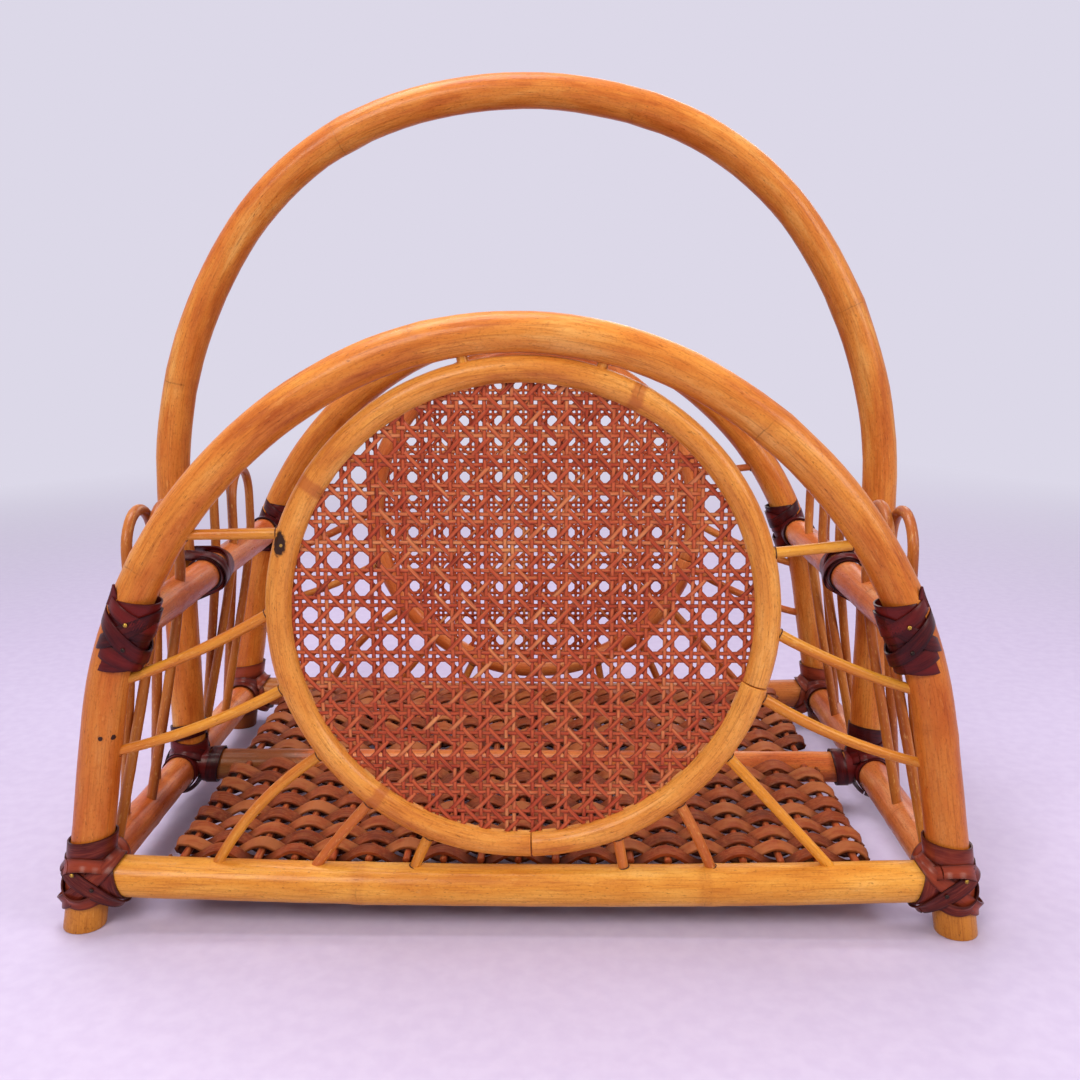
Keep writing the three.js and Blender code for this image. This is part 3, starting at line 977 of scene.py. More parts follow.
def bent_half(
    top: float, arcs: tuple[tuple[float, float], ...], end_z: float
) -> list[tuple[float, float]]:
    """Follows the right half of a bent pole: arcs of falling slope, then a straight leg.

    Args:
        top: The height of the crown in millimetres.
        arcs: The radius of each arc and the slope in degrees at which it ends.
        end_z: The height at which the leg ends.

    Returns:
        The points as x and z in millimetres.
    """
    points = [(0.0, top)]
    centre_x, centre_z = 0.0, top - arcs[0][0]
    slope, last_radius = 0.0, arcs[0][0]
    steps = 24
    for radius, to in arcs:
        angle = math.radians(slope)
        centre_x += (last_radius - radius) * math.sin(angle)
        centre_z += (last_radius - radius) * math.cos(angle)
        for step in range(1, steps + 1):
            angle = math.radians(slope + (to - slope) * step / steps)
            x, z = centre_x + radius * math.sin(angle), centre_z + radius * math.cos(angle)
            points.append((x, z))
        slope, last_radius = to, radius
    points.append((x + (z - end_z) / math.tan(math.radians(slope)), end_z))
    return points


def whole_bow(half: list[tuple[float, float]], y: float, number: int) -> list[Vector]:
    """Mirrors half of a bent pole into the whole of it, as even points in metres."""
    left, right = ([Vector((s * x, y, z)) * MM for x, z in half] for s in (-1, 1))
    return evenly([*reversed(left[1:]), *right], number)


@dataclass
class Frame:
    """The poles that carry the rest: arches, carry handle, base rails and shoulder rails."""

    arch_top: float = 295.6
    arch_arcs: tuple[tuple[float, float], ...] = ((180, 28.5), (227.7, 80.9))
    crown_share: float = 0.95
    foot_swell: float = 0.09
    crown_node: float = 43.3
    foot_depth: float = 3.0
    foot_rounding: float = 0.7
    handle_top: float = 426.6
    handle_arcs: tuple[tuple[float, float], ...] = ((235, 20), (172, 54), (259.9, 90))
    leg_x: float = 215.1

    def arch_half(self) -> list[tuple[float, float]]:
        """Returns the right half of an arch's centreline, down to just below the floor."""
        return bent_half(self.arch_top, self.arch_arcs, -self.foot_depth)

    def arch_x(self, z: float) -> float:
        """Returns how far out an arch's centreline lies at a height."""
        reaches, heights = zip(*reversed(self.arch_half()))
        return float(np.interp(z, heights, reaches))

    def build(self) -> None:
        """Builds and dresses every pole of the frame."""
        for number, face in enumerate(Face):
            self._arch(face, number)
            self._base_rail(face, number)
        for number, side in enumerate(Side):
            self._side_rails(side, number)
        self._handle()
        self._middle_rail()

    def _arch(self, face: Face, number: int) -> None:
        """Builds one arch, a little thicker at its feet, which are sawn level with the floor.

        Args:
            face: The long face that the arch is on.
            number: The face's number, which sets the grain.
        """
        points = 240
        path = whole_bow(self.arch_half(), face.value * ARCH_Y, points)
        spread = [abs(2 * i / (points - 1) - 1) for i in range(points)]
        widths = [self.crown_share + self.foot_swell * s for s in spread]
        # A node shows as a hairline a little to the left of the front arch's crown.
        to_node = path_length(path) / MM / 2 - self.crown_node
        first_node = to_node % (NODE_SPACING / MM) + 61 * number
        name = named(face, "arch")
        grown = {"steps": 100, "widths": widths, "first_node": first_node}
        piece = Pole(name + "_pole", path, ARCH_DIAMETER, 2 + number, **grown).build()
        with editing(piece):
            level = {"plane_co": (0, 0, 0), "plane_no": (0, 0, 1)}
            bpy.ops.mesh.bisect(use_fill=True, clear_inner=True, **level)
            bpy.ops.mesh.bevel(offset=self.foot_rounding * MM, segments=2)
        dress(smooth(piece), ARCH if face is Face.FRONT else REAR_ARCH, name)

    def _handle(self) -> None:
        """Builds the carry handle, which ends on the side base rails."""
        half = bent_half(self.handle_top, self.handle_arcs, BASE_HEIGHT + SIDE_DIAMETER / 2)
        path = whole_bow(half, 0, 260)
        piece = Pole("carry_handle_pole", path, HANDLE_DIAMETER, 5, steps=100, unevenness=1.0)
        dress(piece.build(), POLE, "carry_handle")

    def _base_rail(self, face: Face, number: int) -> None:
        """Builds a long base rail, which sags in the middle and butts against both legs.

        Args:
            face: The long face that the rail is on.
            number: The face's number, which sets the grain.
        """
        reach = self.leg_x - ARCH_DIAMETER * BUTT_SHARE
        path = []
        for i in range(61):
            x = reach * (i / 30 - 1)
            z = BASE_HEIGHT - BASE_SAG * (1 - (x / self.leg_x) ** 2)
            path.append(Vector((x, face.value * ARCH_Y, z)) * MM)
        name = named(face, "base_rail")
        piece = Pole(name + "_pole", path, BASE_DIAMETER, 7 + number, first_node=130).build()
        # The rear base rail is painted darker, as shade.
        dress(piece, RAIL if face is Face.FRONT else SHADED_REAR_RAIL, name)

    def _side_rails(self, side: Side, number: int) -> None:
        """Builds the base rail and the shoulder rail of one side.

        Args:
            side: The short side that the rails are on.
            number: The side's number, which sets the grain.
        """
        reach = ARCH_Y - ARCH_DIAMETER * BUTT_SHARE
        base = ("base_rail", SIDE_RAIL_X, BASE_HEIGHT, 11)
        shoulder = ("shoulder_rail", SHOULDER_X, SHOULDER_HEIGHT, 14)
        for label, x, z, seed in (base, shoulder):
            path = evenly([Vector((side.value * x, y, z)) * MM for y in (-reach, reach)], 40)
            name = named(side, label)
            piece = Pole(name + "_pole", path, SIDE_DIAMETER, seed + number, steps=48)
            dress(piece.build(), SIDE_RAIL, name)

    def _middle_rail(self) -> None:
        """Builds the rail under the middle of the floor."""
        reach = SIDE_RAIL_X - SIDE_DIAMETER * BUTT_SHARE
        path = evenly([Vector((x, 0, BASE_HEIGHT)) * MM for x in (-reach, reach)], 60)
        piece = Pole("middle_base_rail_pole", path, SIDE_DIAMETER, 17).build()
        dress(piece, MIDDLE_RAIL, "middle_base_rail")


@dataclass
class SideCanes:
    """The hairpin canes of the two sides: each stands on the side base rail, goes through the
    shoulder rail, turns over in a narrow loop and comes back down. The shares are the two
    holes and the two feet of a cane, as shares of half the distance between the arches."""

    loop_rise: float = 57.0
    stagger: float = 3.1
    foot_depth: float = 3.0
    outer_shares: tuple[float, float, float, float] = (0.16, 0.42, 0.35, 0.688)
    inner_shares: tuple[float, float, float, float] = (0.287, 0.564, 0.175, 0.508)

    def build(self) -> None:
        """Builds and dresses every hairpin."""
        seeds = count(20)
        layers = (("outer", self.outer_shares, 1), ("inner", self.inner_shares, -1))
        for side in Side:
            for half in Face:
                for layer, shares, outward in layers:
                    name = named(side, half, layer, "hairpin")
                    path = self._path(side, half, shares, outward)
                    shape = {"sides": 12, "steps": 100, "unevenness": 0.35}
                    piece = Pole(name + "_cane", path, HAIRPIN_DIAMETER, next(seeds), **shape)
                    # The hairpins take the browner cane, a painted shade.
                    dress(piece.build(), SHADED_SIDE_CANE, name)

    def _path(
        self, side: Side, half: Face, shares: tuple[float, float, float, float], outward: int
    ) -> list[Vector]:
        """Follows one hairpin from foot to foot.

        Args:
            side: The side of the basket.
            half: The front or rear half of that side.
            shares: The two holes and the two feet.
            outward: 1 in the outer layer and -1 in the inner one.

        Returns:
            Even points along the cane.
        """
        start = -ARCH_Y if half is Face.FRONT else 0.0
        hole_a, hole_b, foot_a, foot_b = (start + share * ARCH_Y for share in shares)
        foot_x = side.value * (SIDE_RAIL_X + outward * self.stagger)
        hole_x = side.value * (SHOULDER_X + outward * self.stagger)
        foot_z = BASE_HEIGHT + SIDE_DIAMETER / 2 - self.foot_depth
        radius = (hole_b - hole_a) / 2
        middle = (hole_a + hole_b) / 2
        loop_z = SHOULDER_HEIGHT + self.loop_rise - HAIRPIN_DIAMETER / 2 - radius
        loop = [
            Vector((hole_x, middle - radius * math.cos(t), loop_z + radius * math.sin(t)))
            for t in (math.pi * i / 14 for i in range(15))
        ]
        corners = [
            Vector((foot_x, foot_a, foot_z)),
            Vector((hole_x, hole_a, SHOULDER_HEIGHT)),
            *loop,
            Vector((hole_x, hole_b, SHOULDER_HEIGHT)),
            Vector((foot_x, foot_b, foot_z)),
        ]
        return evenly([corner * MM for corner in rounded(corners)], 160)


# The two long faces.


@dataclass(frozen=True)
class Spoke:
    """One spoke: where it leaves the ring, where it ends, how far it hangs down from a
    straight line, or stands up from it, as a share of its length, and its cane in front."""

    label: str
    angle: float
    end_share: float
    bow_share: float
    finish: PeeledCane = CANE


ARCH_SPOKES = (
    Spoke("upper_left", -70, 0.68, 0.0),
    Spoke("middle_left", -88.6, 0.425, 0.022),
    Spoke("lower_left", -107.5, 0.304, 0.03),
    Spoke("lower_right", 109, 0.289, 0.038),
    Spoke("middle_right", 93, 0.415, 0.026),
    Spoke("upper_right", 75, 0.67, 0.0),
)
RAIL_SPOKES = (
    Spoke("base_left", -125, -0.731, -0.055),
    Spoke("base_mid_left", -141.6, -0.501, -0.01, RED_CANE),
    Spoke("base_inner_left", -157.7, -0.257, -0.013),
    Spoke("base_inner_right", 157, 0.254, 0.0, RED_CANE),
    Spoke("base_mid_right", 140.4, 0.467, -0.013, RED_CANE),
    Spoke("base_right", 124.6, 0.757, 0.0, BRIGHT_CANE),
)


@dataclass
class Panel:
    """The filling of one arch: a ring, its spokes and pegs, and the webbing in the ring."""

    frame: Frame
    face: Face
    peg_angles: tuple[float, float] = (-12.6, 17.4)
    peg_ends: tuple[float, float] = (-5.0, 7.0)
    joint_angle: float = 178.0
    lap_angle: float = 106.8
    lap_swell: float = 0.045
    joint_gap: float = 0.3
    first_nodes: tuple[float, float] = (84.0, 160.0)
    spoke_depth: float = 2.0
    spoke_thick: float = 1.04
    spoke_taper: float = 0.1
    rim_lead: float = 2.1
    rim_spare: float = 0.25
    rim_thickness: float = 0.28
    strand_width: float = 1.9
    strand_crown: float = 0.14
    diagonal_width: float = 2.1
    strand_thickness: float = 0.42
    pair_reach: float = 1.8
    weave_rise: float = 0.34
    diagonal_rise: float = 0.62
    webbing_reach: float = 114.5
    columns: int = 20
    rows: int = 18

    def build(self) -> None:
        """Builds and dresses the panel."""
        self._ring()
        for number, spoke in enumerate(ARCH_SPOKES):
            z = spoke.end_share * self.frame.arch_top
            x = math.copysign(self.frame.arch_x(z), spoke.angle)
            self._spoke(spoke, Vector((x, self._y(), z)), ARCH_DIAMETER, number)
        for number, spoke in enumerate(RAIL_SPOKES, len(ARCH_SPOKES)):
            x = spoke.end_share * self.frame.leg_x
            z = BASE_HEIGHT - BASE_SAG * (1 - spoke.end_share**2)
            self._spoke(spoke, Vector((x, self._y(), z)), BASE_DIAMETER, number)
        self._webbing()

    def _y(self) -> float:
        """Returns the y of the panel's middle plane in millimetres."""
        return self.face.value * ARCH_Y

    def _on_ring(self, angle: float, radius: float) -> Vector:
        """Returns a point of the panel at an angle from straight up and a radius."""
        turned = math.radians(angle)
        x = RING_X + radius * math.sin(turned)
        return Vector((x, self._y(), RING_Z + radius * math.cos(turned)))

    def _ring(self) -> None:
        """Builds the ring from two bent lengths that butt and lap, with its two top pegs."""
        middle = RING_RADIUS - RING_DIAMETER / 2
        gap = math.degrees(self.joint_gap / middle)
        name = named(self.face, "ring")
        # The rear ring takes the darker, redder side rail finish: painted shade.
        finish = RING if self.face is Face.FRONT else SIDE_RAIL
        seed = 30 + 2 * self.face.value
        long = (self.joint_angle, self.lap_angle + 360, 260, 100, 0.0)
        short = (self.lap_angle, self.joint_angle, 60, 24, self.lap_swell)
        pieces = []
        for number, (start, end, points, steps, swell) in enumerate((long, short)):
            turns = np.linspace(start + gap, end - gap, points)
            path = [self._on_ring(float(t), middle) * MM for t in turns]
            widths = [1 + swell - swell * i / (points - 1) for i in range(points)]
            grown = {"widths": widths, "first_node": self.first_nodes[number]}
            shape = {"sides": 18, "steps": steps, "end_rounding": 0.4, **grown}
            length = Pole(name + "_pole", path, RING_DIAMETER, seed + number, **shape)
            pieces.append(coated(length.build(), finish))
        for angle in self.peg_angles:
            ends = [self._on_ring(angle, RING_RADIUS + r) * MM for r in self.peg_ends]
            peg = Pole("peg", evenly(ends, 8), SPOKE_DIAMETER, seed + 3, 10, 6)
            pieces.append(coated(peg.build(), CANE))
        dress(joined(pieces, name + "_pole"), finish, name)

    def _spoke(self, spoke: Spoke, far: Vector, far_pole: float, number: int) -> None:
        """Builds one spoke from inside the ring pole to inside the pole that it ends on.

        Args:
            spoke: Which spoke it is.
            far: The place in the far pole's middle where it ends, in millimetres.
            far_pole: The far pole's diameter.
            number: The spoke's place in the panel, which sets its grain.
        """
        near = self._on_ring(spoke.angle, RING_RADIUS - RING_DIAMETER / 2)
        along = far - near
        length = along.length
        near = near + along * (RING_DIAMETER / 2 - self.spoke_depth) / length
        far = far - along * (far_pole / 2 - self.spoke_depth) / length
        down = Vector((-along.z, 0, along.x)) / length
        down = down if down.z < 0 else -down
        path = []
        steps = 40
        for i in range(steps + 1):
            t = i / steps
            sag = spoke.bow_share * length * 4 * t * (1 - t)
            path.append((near.lerp(far, t) + down * sag) * MM)
        widths = [self.spoke_thick - self.spoke_taper * i / steps for i in range(steps + 1)]
        front = self.face is Face.FRONT
        seed = 40 + number + (0 if front else 20)
        # The rear spokes take the darker cane, a painted shade.
        finish = spoke.finish if front else SHADED_REAR_CANE
        name = named(self.face, spoke.label, "spoke")
        shape = {"sides": 12, "steps": 24, "widths": widths, "unevenness": 0.3}
        cane = Pole(name + "_cane", path, SPOKE_DIAMETER, seed, **shape).build()
        rims = [self._hole_rim(path[0], path[1]), self._hole_rim(path[-1], path[-2])]
        dress(joined([coated(cane, finish), *rims], name + "_cane"), finish, name)

    def _hole_rim(self, end: Vector, inner: Vector) -> Piece:
        """Builds the dark edge of the drilled hole that a spoke's end sits in.

        Args:
            end: The spoke's end in metres.
            inner: The next point of the spoke.

        Returns:
            The rim.
        """
        out = (inner - end).normalized()
        rim = primitive(
            "hole_rim",
            bpy.ops.mesh.primitive_torus_add,
            major_radius=(SPOKE_DIAMETER / 2 + self.rim_spare) * MM,
            minor_radius=self.rim_thickness * MM,
            major_segments=16,
            minor_segments=6,
        )
        turn(rim, facing(out, end + out * self.rim_lead * MM))
        bpy.ops.object.shade_smooth()
        return coated(rim, BURNT_RIM)

    def _ribbon(self, name: str, width: float, levels: list[tuple[float, float]]) -> Piece:
        """Builds one repeat of a flat strand along the x axis, with its rises and dips.

        Args:
            name: The strand's name.
            width: The strand's width in millimetres.
            levels: The x of each ring of points and how far it lies above the middle.

        Returns:
            The strand, still without thickness.
        """
        cells = len(levels) - 1
        grid = {"x_subdivisions": cells, "y_subdivisions": 2, "size": 1}
        ribbon = primitive(name, bpy.ops.mesh.primitive_grid_add, **grid)
        columns = np.round((places(ribbon)[:, 0] + 0.5) * cells).astype(int)
        for number, (x, z) in enumerate(levels):
            with editing(ribbon, columns == number):
                middle = number / cells - 0.5
                bpy.ops.transform.translate(value=(x * MM - middle, 0, z * MM))
        with editing(ribbon):
            bpy.ops.transform.resize(value=(1, width * MM, 1), center_override=(0, 0, 0))
        store(ribbon, "edge", np.abs(places(ribbon)[:, 1]) / (width / 2 * MM))
        with editing(ribbon, np.abs(places(ribbon)[:, 1]) < NEAR):
            bpy.ops.transform.translate(value=(0, 0, self.strand_crown * MM))
        return ribbon

    def _strands(
        self,
        ribbon: Piece,
        start: Vector,
        along: tuple[Vector, int],
        across: tuple[Vector, int],
        tilt: float,
    ) -> Piece:
        """Repeats a ribbon along its own length and then side by side.

        Args:
            ribbon: One repeat of the strand along the x axis.
            start: Where the first repeat's middle goes, in millimetres.
            along: The step from one repeat to the next, and how many make a strand.
            across: The step from one strand to the next, and how many there are.
            tilt: The angle of the strand in the x and z plane, in radians.

        Returns:
            All the strands of that kind as one piece, cut off where they are in the ring.
        """
        finish_modifier(ribbon, "SOLIDIFY", thickness=self.strand_thickness * MM, offset=0.0)
        # The ribbon's own up becomes the panel's front, and its length turns by the tilt.
        stand = Matrix.Rotation(-tilt, 4, "Y") @ Matrix.Rotation(math.pi / 2, 4, "X")
        turn(ribbon, Matrix.Translation(start * MM) @ stand)
        fixed = {"use_relative_offset": False, "use_constant_offset": True}
        for (step, number), merge in ((along, True), (across, False)):
            steps = {"count": number, "constant_offset_displace": tuple(step * MM), **fixed}
            merged = {"use_merge_vertices": merge, "merge_threshold": 0.05 * MM}
            finish_modifier(ribbon, "ARRAY", **steps, **merged)
        at = places(ribbon)
        reach = np.hypot(at[:, 0] - RING_X * MM, at[:, 2] - RING_Z * MM)
        with editing(ribbon, reach > self.webbing_reach * MM):
            bpy.ops.mesh.delete(type="VERT")
        self._grain(ribbon, along[0], across[0])
        return ribbon

    def _grain(self, strands: Piece, along: Vector, across: Vector) -> None:
        """Gives every strand its own grain and its own tone.

        Args:
            strands: The strands side by side.
            along: The direction of a strand.
            across: The step from one strand to the next.
        """
        at = places(strands) / MM
        length = np.array(along.normalized())
        square = np.array(Vector((along.z, 0, -along.x)).normalized())
        pitch = abs(float(np.dot(square, np.array(across))))
        number = np.round(at @ square / pitch + 0.17)
        # A sine with a very short period scatters the tones as evenly as a draw would.
        tone = np.modf(np.abs(np.sin(number * 12.9898 + pitch * 7.1) * 43758.5))[0]
        grain = np.stack([at @ length + number * 61, at @ square, at[:, 1]], axis=1) * MM
        store(strands, "grain", grain)
        store(strands, "tone", tone)

    def _webbing(self) -> None:
        """Weaves the disc: pairs of uprights, pairs of crosswise strands, two diagonals."""
        half_p, half_q = COLUMN_PITCH / 2, ROW_PITCH / 2
        near, rise = self.pair_reach, self.weave_rise
        left = RING_X - self.columns / 2 * COLUMN_PITCH
        foot = RING_Z - self.rows / 2 * ROW_PITCH
        y = self._y()
        columns = (Vector((COLUMN_PITCH, 0, 0)), self.columns)
        rows = (Vector((0, 0, ROW_PITCH)), self.rows)
        kinds = []
        for sign in (-1, 1):
            upright = Vector((left + half_p + sign * near, y, foot + half_q))
            crosswise = Vector((left + half_p, y, foot + half_q + sign * near))
            for name, half, up, start, along, across, tilt in (
                ("upright_strands", half_q, -sign, upright, rows, columns, math.pi / 2),
                ("crosswise_strands", half_p, sign, crosswise, columns, rows, 0),
            ):
                dip = [(-half, 0), (-near - 1, -rise * 0.8), (-near, -rise)]
                levels = [*dip, (0, 0), *((-x, -z) for x, z in reversed(dip))]
                levels = [(x, z * up) for x, z in levels]
                ribbon = self._ribbon(name, self.strand_width, levels)
                kinds.append(self._strands(ribbon, start, along, across, tilt))
        repeats = self.rows + 2
        across = (columns[0], repeats + self.columns)
        for sign in (-1, 1):
            levels = []
            for share in (0, 0.15, 0.25, 0.35, 0.5, 0.65, 0.75, 0.85, 1):
                height = max(-1.0, min(1.0, 1.7 * math.cos(2 * math.pi * share)))
                x = (share - 0.5) * math.hypot(COLUMN_PITCH, ROW_PITCH)
                levels.append((x, sign * self.diagonal_rise * height))
            ribbon = self._ribbon("diagonal_strands", self.diagonal_width, levels)
            step = Vector((COLUMN_PITCH, 0, sign * ROW_PITCH))
            first = foot - ROW_PITCH if sign > 0 else foot + (self.rows + 1) * ROW_PITCH
            # The strand starts over the middle of a pair, at the edge between two cells.
            start = Vector((left - repeats * COLUMN_PITCH, y, first)) + step / 2
            start.x += half_p
            tilt = math.atan2(sign * ROW_PITCH, COLUMN_PITCH)
            kinds.append(self._strands(ribbon, start, (step, repeats), across, tilt))
        name = named(self.face, "webbing")
        dress(smooth(joined(kinds, name + "_strands"), 60), WEBBING, name)


# The floor.


@dataclass
class WovenFloor:
    """The floor: round stakes from front to rear, and flat reed that goes over one stake and
    under the next, each row out of step with the one before it."""

    stake_pitch: float = 19.0
    stakes_each_side: int = 9
    stake_diameter: float = 4.0
    stake_depth: float = 2.0
    stake_z: float = 31.4
    # The stakes take the reed's darkest tone, a painted shade, as they lie under the reeds.
    stake_tone: float = 0.1
    reed_width: float = 9.0
    reed_thickness: float = 1.5
    reed_rounding: float = 0.6
    reed_rise: float = 3.9
    reed_tilt: float = 11.0
    rail_gap: float = 0.5
    rows: int = 13
    looser: float = 1.15
    edge_turn: float = 92.0
    edge_reach: float = 7.6
    edge_lead: float = 10.0
    lean_steps: int = 4

    def build(self) -> None:
        """Builds and dresses both fields of the floor."""
        for face in Face:
            name = named(face, "floor_weave")
            piece = joined([*self._stakes(face), *self._reeds(face)], name + "_reeds")
            dress(piece, REED, name)

    def _field(self) -> tuple[float, float]:
        """Returns the nearest and the farthest y of a field from the middle rail."""
        inner = SIDE_DIAMETER / 2 + self.rail_gap
        return inner, ARCH_Y - BASE_DIAMETER / 2 - self.rail_gap

    def _stakes(self, face: Face) -> list[Piece]:
        """Builds the stakes of one field, each with its own grain.

        Args:
            face: The field's side of the middle rail.

        Returns:
            The stakes.
        """
        inner, outer = self._field()
        ends = (inner - self.stake_depth, outer + self.stake_depth)
        stakes = []
        for number in range(-self.stakes_each_side, self.stakes_each_side + 1):
            x = number * self.stake_pitch
            line = [Vector((x, face.value * y, self.stake_z)) * MM for y in ends]
            seed = 80 + number + face.value * 20
            stake = Pole("stake", evenly(line, 6), self.stake_diameter, seed, 10, 12).build()
            # The darkest tone paints the shade that the stakes lie in.
            for value in ("tone", "edge"):
                store(stake, value, self.stake_tone)
            stakes.append(stake)
        return stakes

    def _reeds(self, face: Face) -> list[Piece]:
        """Builds the rows of one field from two master reeds, one for each step.

        Args:
            face: The field's side of the middle rail.

        Returns:
            The reeds.
        """
        inner, outer = self._field()
        masters = [self._master(phase, face) for phase in (1, -1)]
        reeds = []
        for row in range(self.rows):
            # The weave is beaten down tight at the long rail and looser at the middle one.
            left = (self.rows - row - 0.5) / self.rows
            y = face.value * (outer - left**self.looser * (outer - inner))
            reed = copied(masters[row % 2], "reed")
            with editing(reed):
                wider = (1, 0.88 + 0.3 * left, 1)
                bpy.ops.transform.resize(value=wider, center_override=(0, 0, 0))
            number = row + (40 if face is Face.REAR else 0)
            stray = Vector((0.8 * math.sin(number * 5.1), 0.3 * math.sin(number * 3.7), 0))
            shift(reed, (Vector((0, y, 0)) + stray) * MM)
            if row == 0:
                self._trim(reed, face.value * inner, -face.value)
            if row == self.rows - 1:
                self._trim(reed, face.value * outer, face.value)
            at = places(reed)
            grain = np.stack([at[:, 0] + number * 0.7, at[:, 1], at[:, 2]], axis=1)
            store(reed, "grain", grain)
            store(reed, "tone", 0.5 + 0.5 * math.sin(number * 2.4))
            reeds.append(reed)
        for master in masters:
            drop(master)
        return reeds

    @staticmethod
    def _trim(reed: Piece, y: float, way: int) -> None:
        """Cuts a reed along the rail that it lies against.

        Args:
            reed: The reed.
            y: The y of the cut in millimetres.
            way: The side of the cut that is taken off, 1 or -1 along the y axis.
        """
        plane = {"plane_co": (0, y * MM, 0), "plane_no": (0, way, 0)}
        with editing(reed):
            bpy.ops.mesh.bisect(use_fill=True, clear_outer=True, **plane)

    def _path(self, phase: int) -> list[Vector]:
        """Follows a reed over and under the stakes and round the outside of the last ones.

        Args:
            phase: 1 where the reed goes over the middle stake and -1 where it goes under.

        Returns:
            Even points along the reed, in metres.
        """
        last = self.stakes_each_side * self.stake_pitch
        path = []
        for i in range(241):
            x = last * (i / 120 - 1)
            wave = math.cos(math.pi * x / self.stake_pitch)
            path.append(Vector((x, 0, self.stake_z + phase * self.reed_rise * wave)))
        side = math.copysign(1, path[0].z - self.stake_z)
        for i in range(1, 11):
            angle = math.radians(self.edge_turn * i / 10)
            out = last + self.edge_reach * math.sin(angle)
            z = self.stake_z + side * self.reed_rise * math.cos(angle)
            path = [Vector((-out, 0, z)), *path, Vector((out, 0, z))]
        return evenly([place * MM for place in path], 321)

    def _master(self, phase: int, face: Face) -> Piece:
        """Builds one reed along the x axis, bent over and under the stakes.

        Args:
            phase: 1 where the reed goes over the middle stake and -1 where it goes under.
            face: The field that the reed is for.

        Returns:
            The reed, with its middle at x = 0 and y = 0.
        """
        path = self._path(phase)
        length = path_length(path)
        size = (length, self.reed_width * MM, self.reed_thickness * MM)
        cube = {"size": 1, "location": (length / 2, 0, 0)}
        reed = primitive("master_reed", bpy.ops.mesh.primitive_cube_add, size, **cube)
        with editing(reed, lengthwise(reed, length / 2), Part.EDGES):
            bpy.ops.mesh.bevel(offset=self.reed_rounding * MM, segments=2)
        for least, cuts in ((length / 2, 100), (length / 200, 1)):
            with editing(reed, lengthwise(reed, least), Part.EDGES):
                bpy.ops.mesh.subdivide(number_cuts=cuts)
        store(reed, "edge", np.abs(places(reed)[:, 1]) / (self.reed_width / 2 * MM))
        # The rows lie like shingles, and past the last stake each reed leans over to the next
        # row, in which it comes back.
        turn(reed, Matrix.Rotation(math.radians(self.reed_tilt), 4, "X"))
        xs = places(reed)[:, 0]
        lean = phase * face.value * self.reed_width / 2 / self.lean_steps * MM
        for step in range(self.lean_steps):
            lead = self.edge_lead * (1 - step / self.lean_steps) * MM
            for chosen, by in ((xs < lead, lean), (xs > length - lead, -lean)):
                with editing(reed, chosen):
                    bpy.ops.transform.translate(value=(0, by, 0))
        bend(reed, path, upright=True)
        return reed


# The lashings.


@dataclass(frozen=True)
class Bar:
    """A straight stretch of pole that binding cane goes round, in millimetres."""

    start: Vector
    end: Vector
    radius: float

    def along(self) -> Vector:
        """Returns the way from its start to its end."""
        return self.end - self.start


@dataclass(frozen=True)
class Turn:
    """One turn of binding cane: its plane, the bars that it goes round and its layer."""

    centre: Vector
    normal: Vector
    bars: tuple[int, ...]
    layer: int
    width: float = 8.6


@dataclass(frozen=True)
class Tail:
    """The cut end of a strip that sticks out of a lashing."""

    root: Vector
    along: Vector
    out: Vector
    length: float


@dataclass(frozen=True)
class Pin:
    """A small pin driven into a lashing: its place, the way it faces and its metal."""

    at: Vector
    out: Vector
    metal: SmallTrim


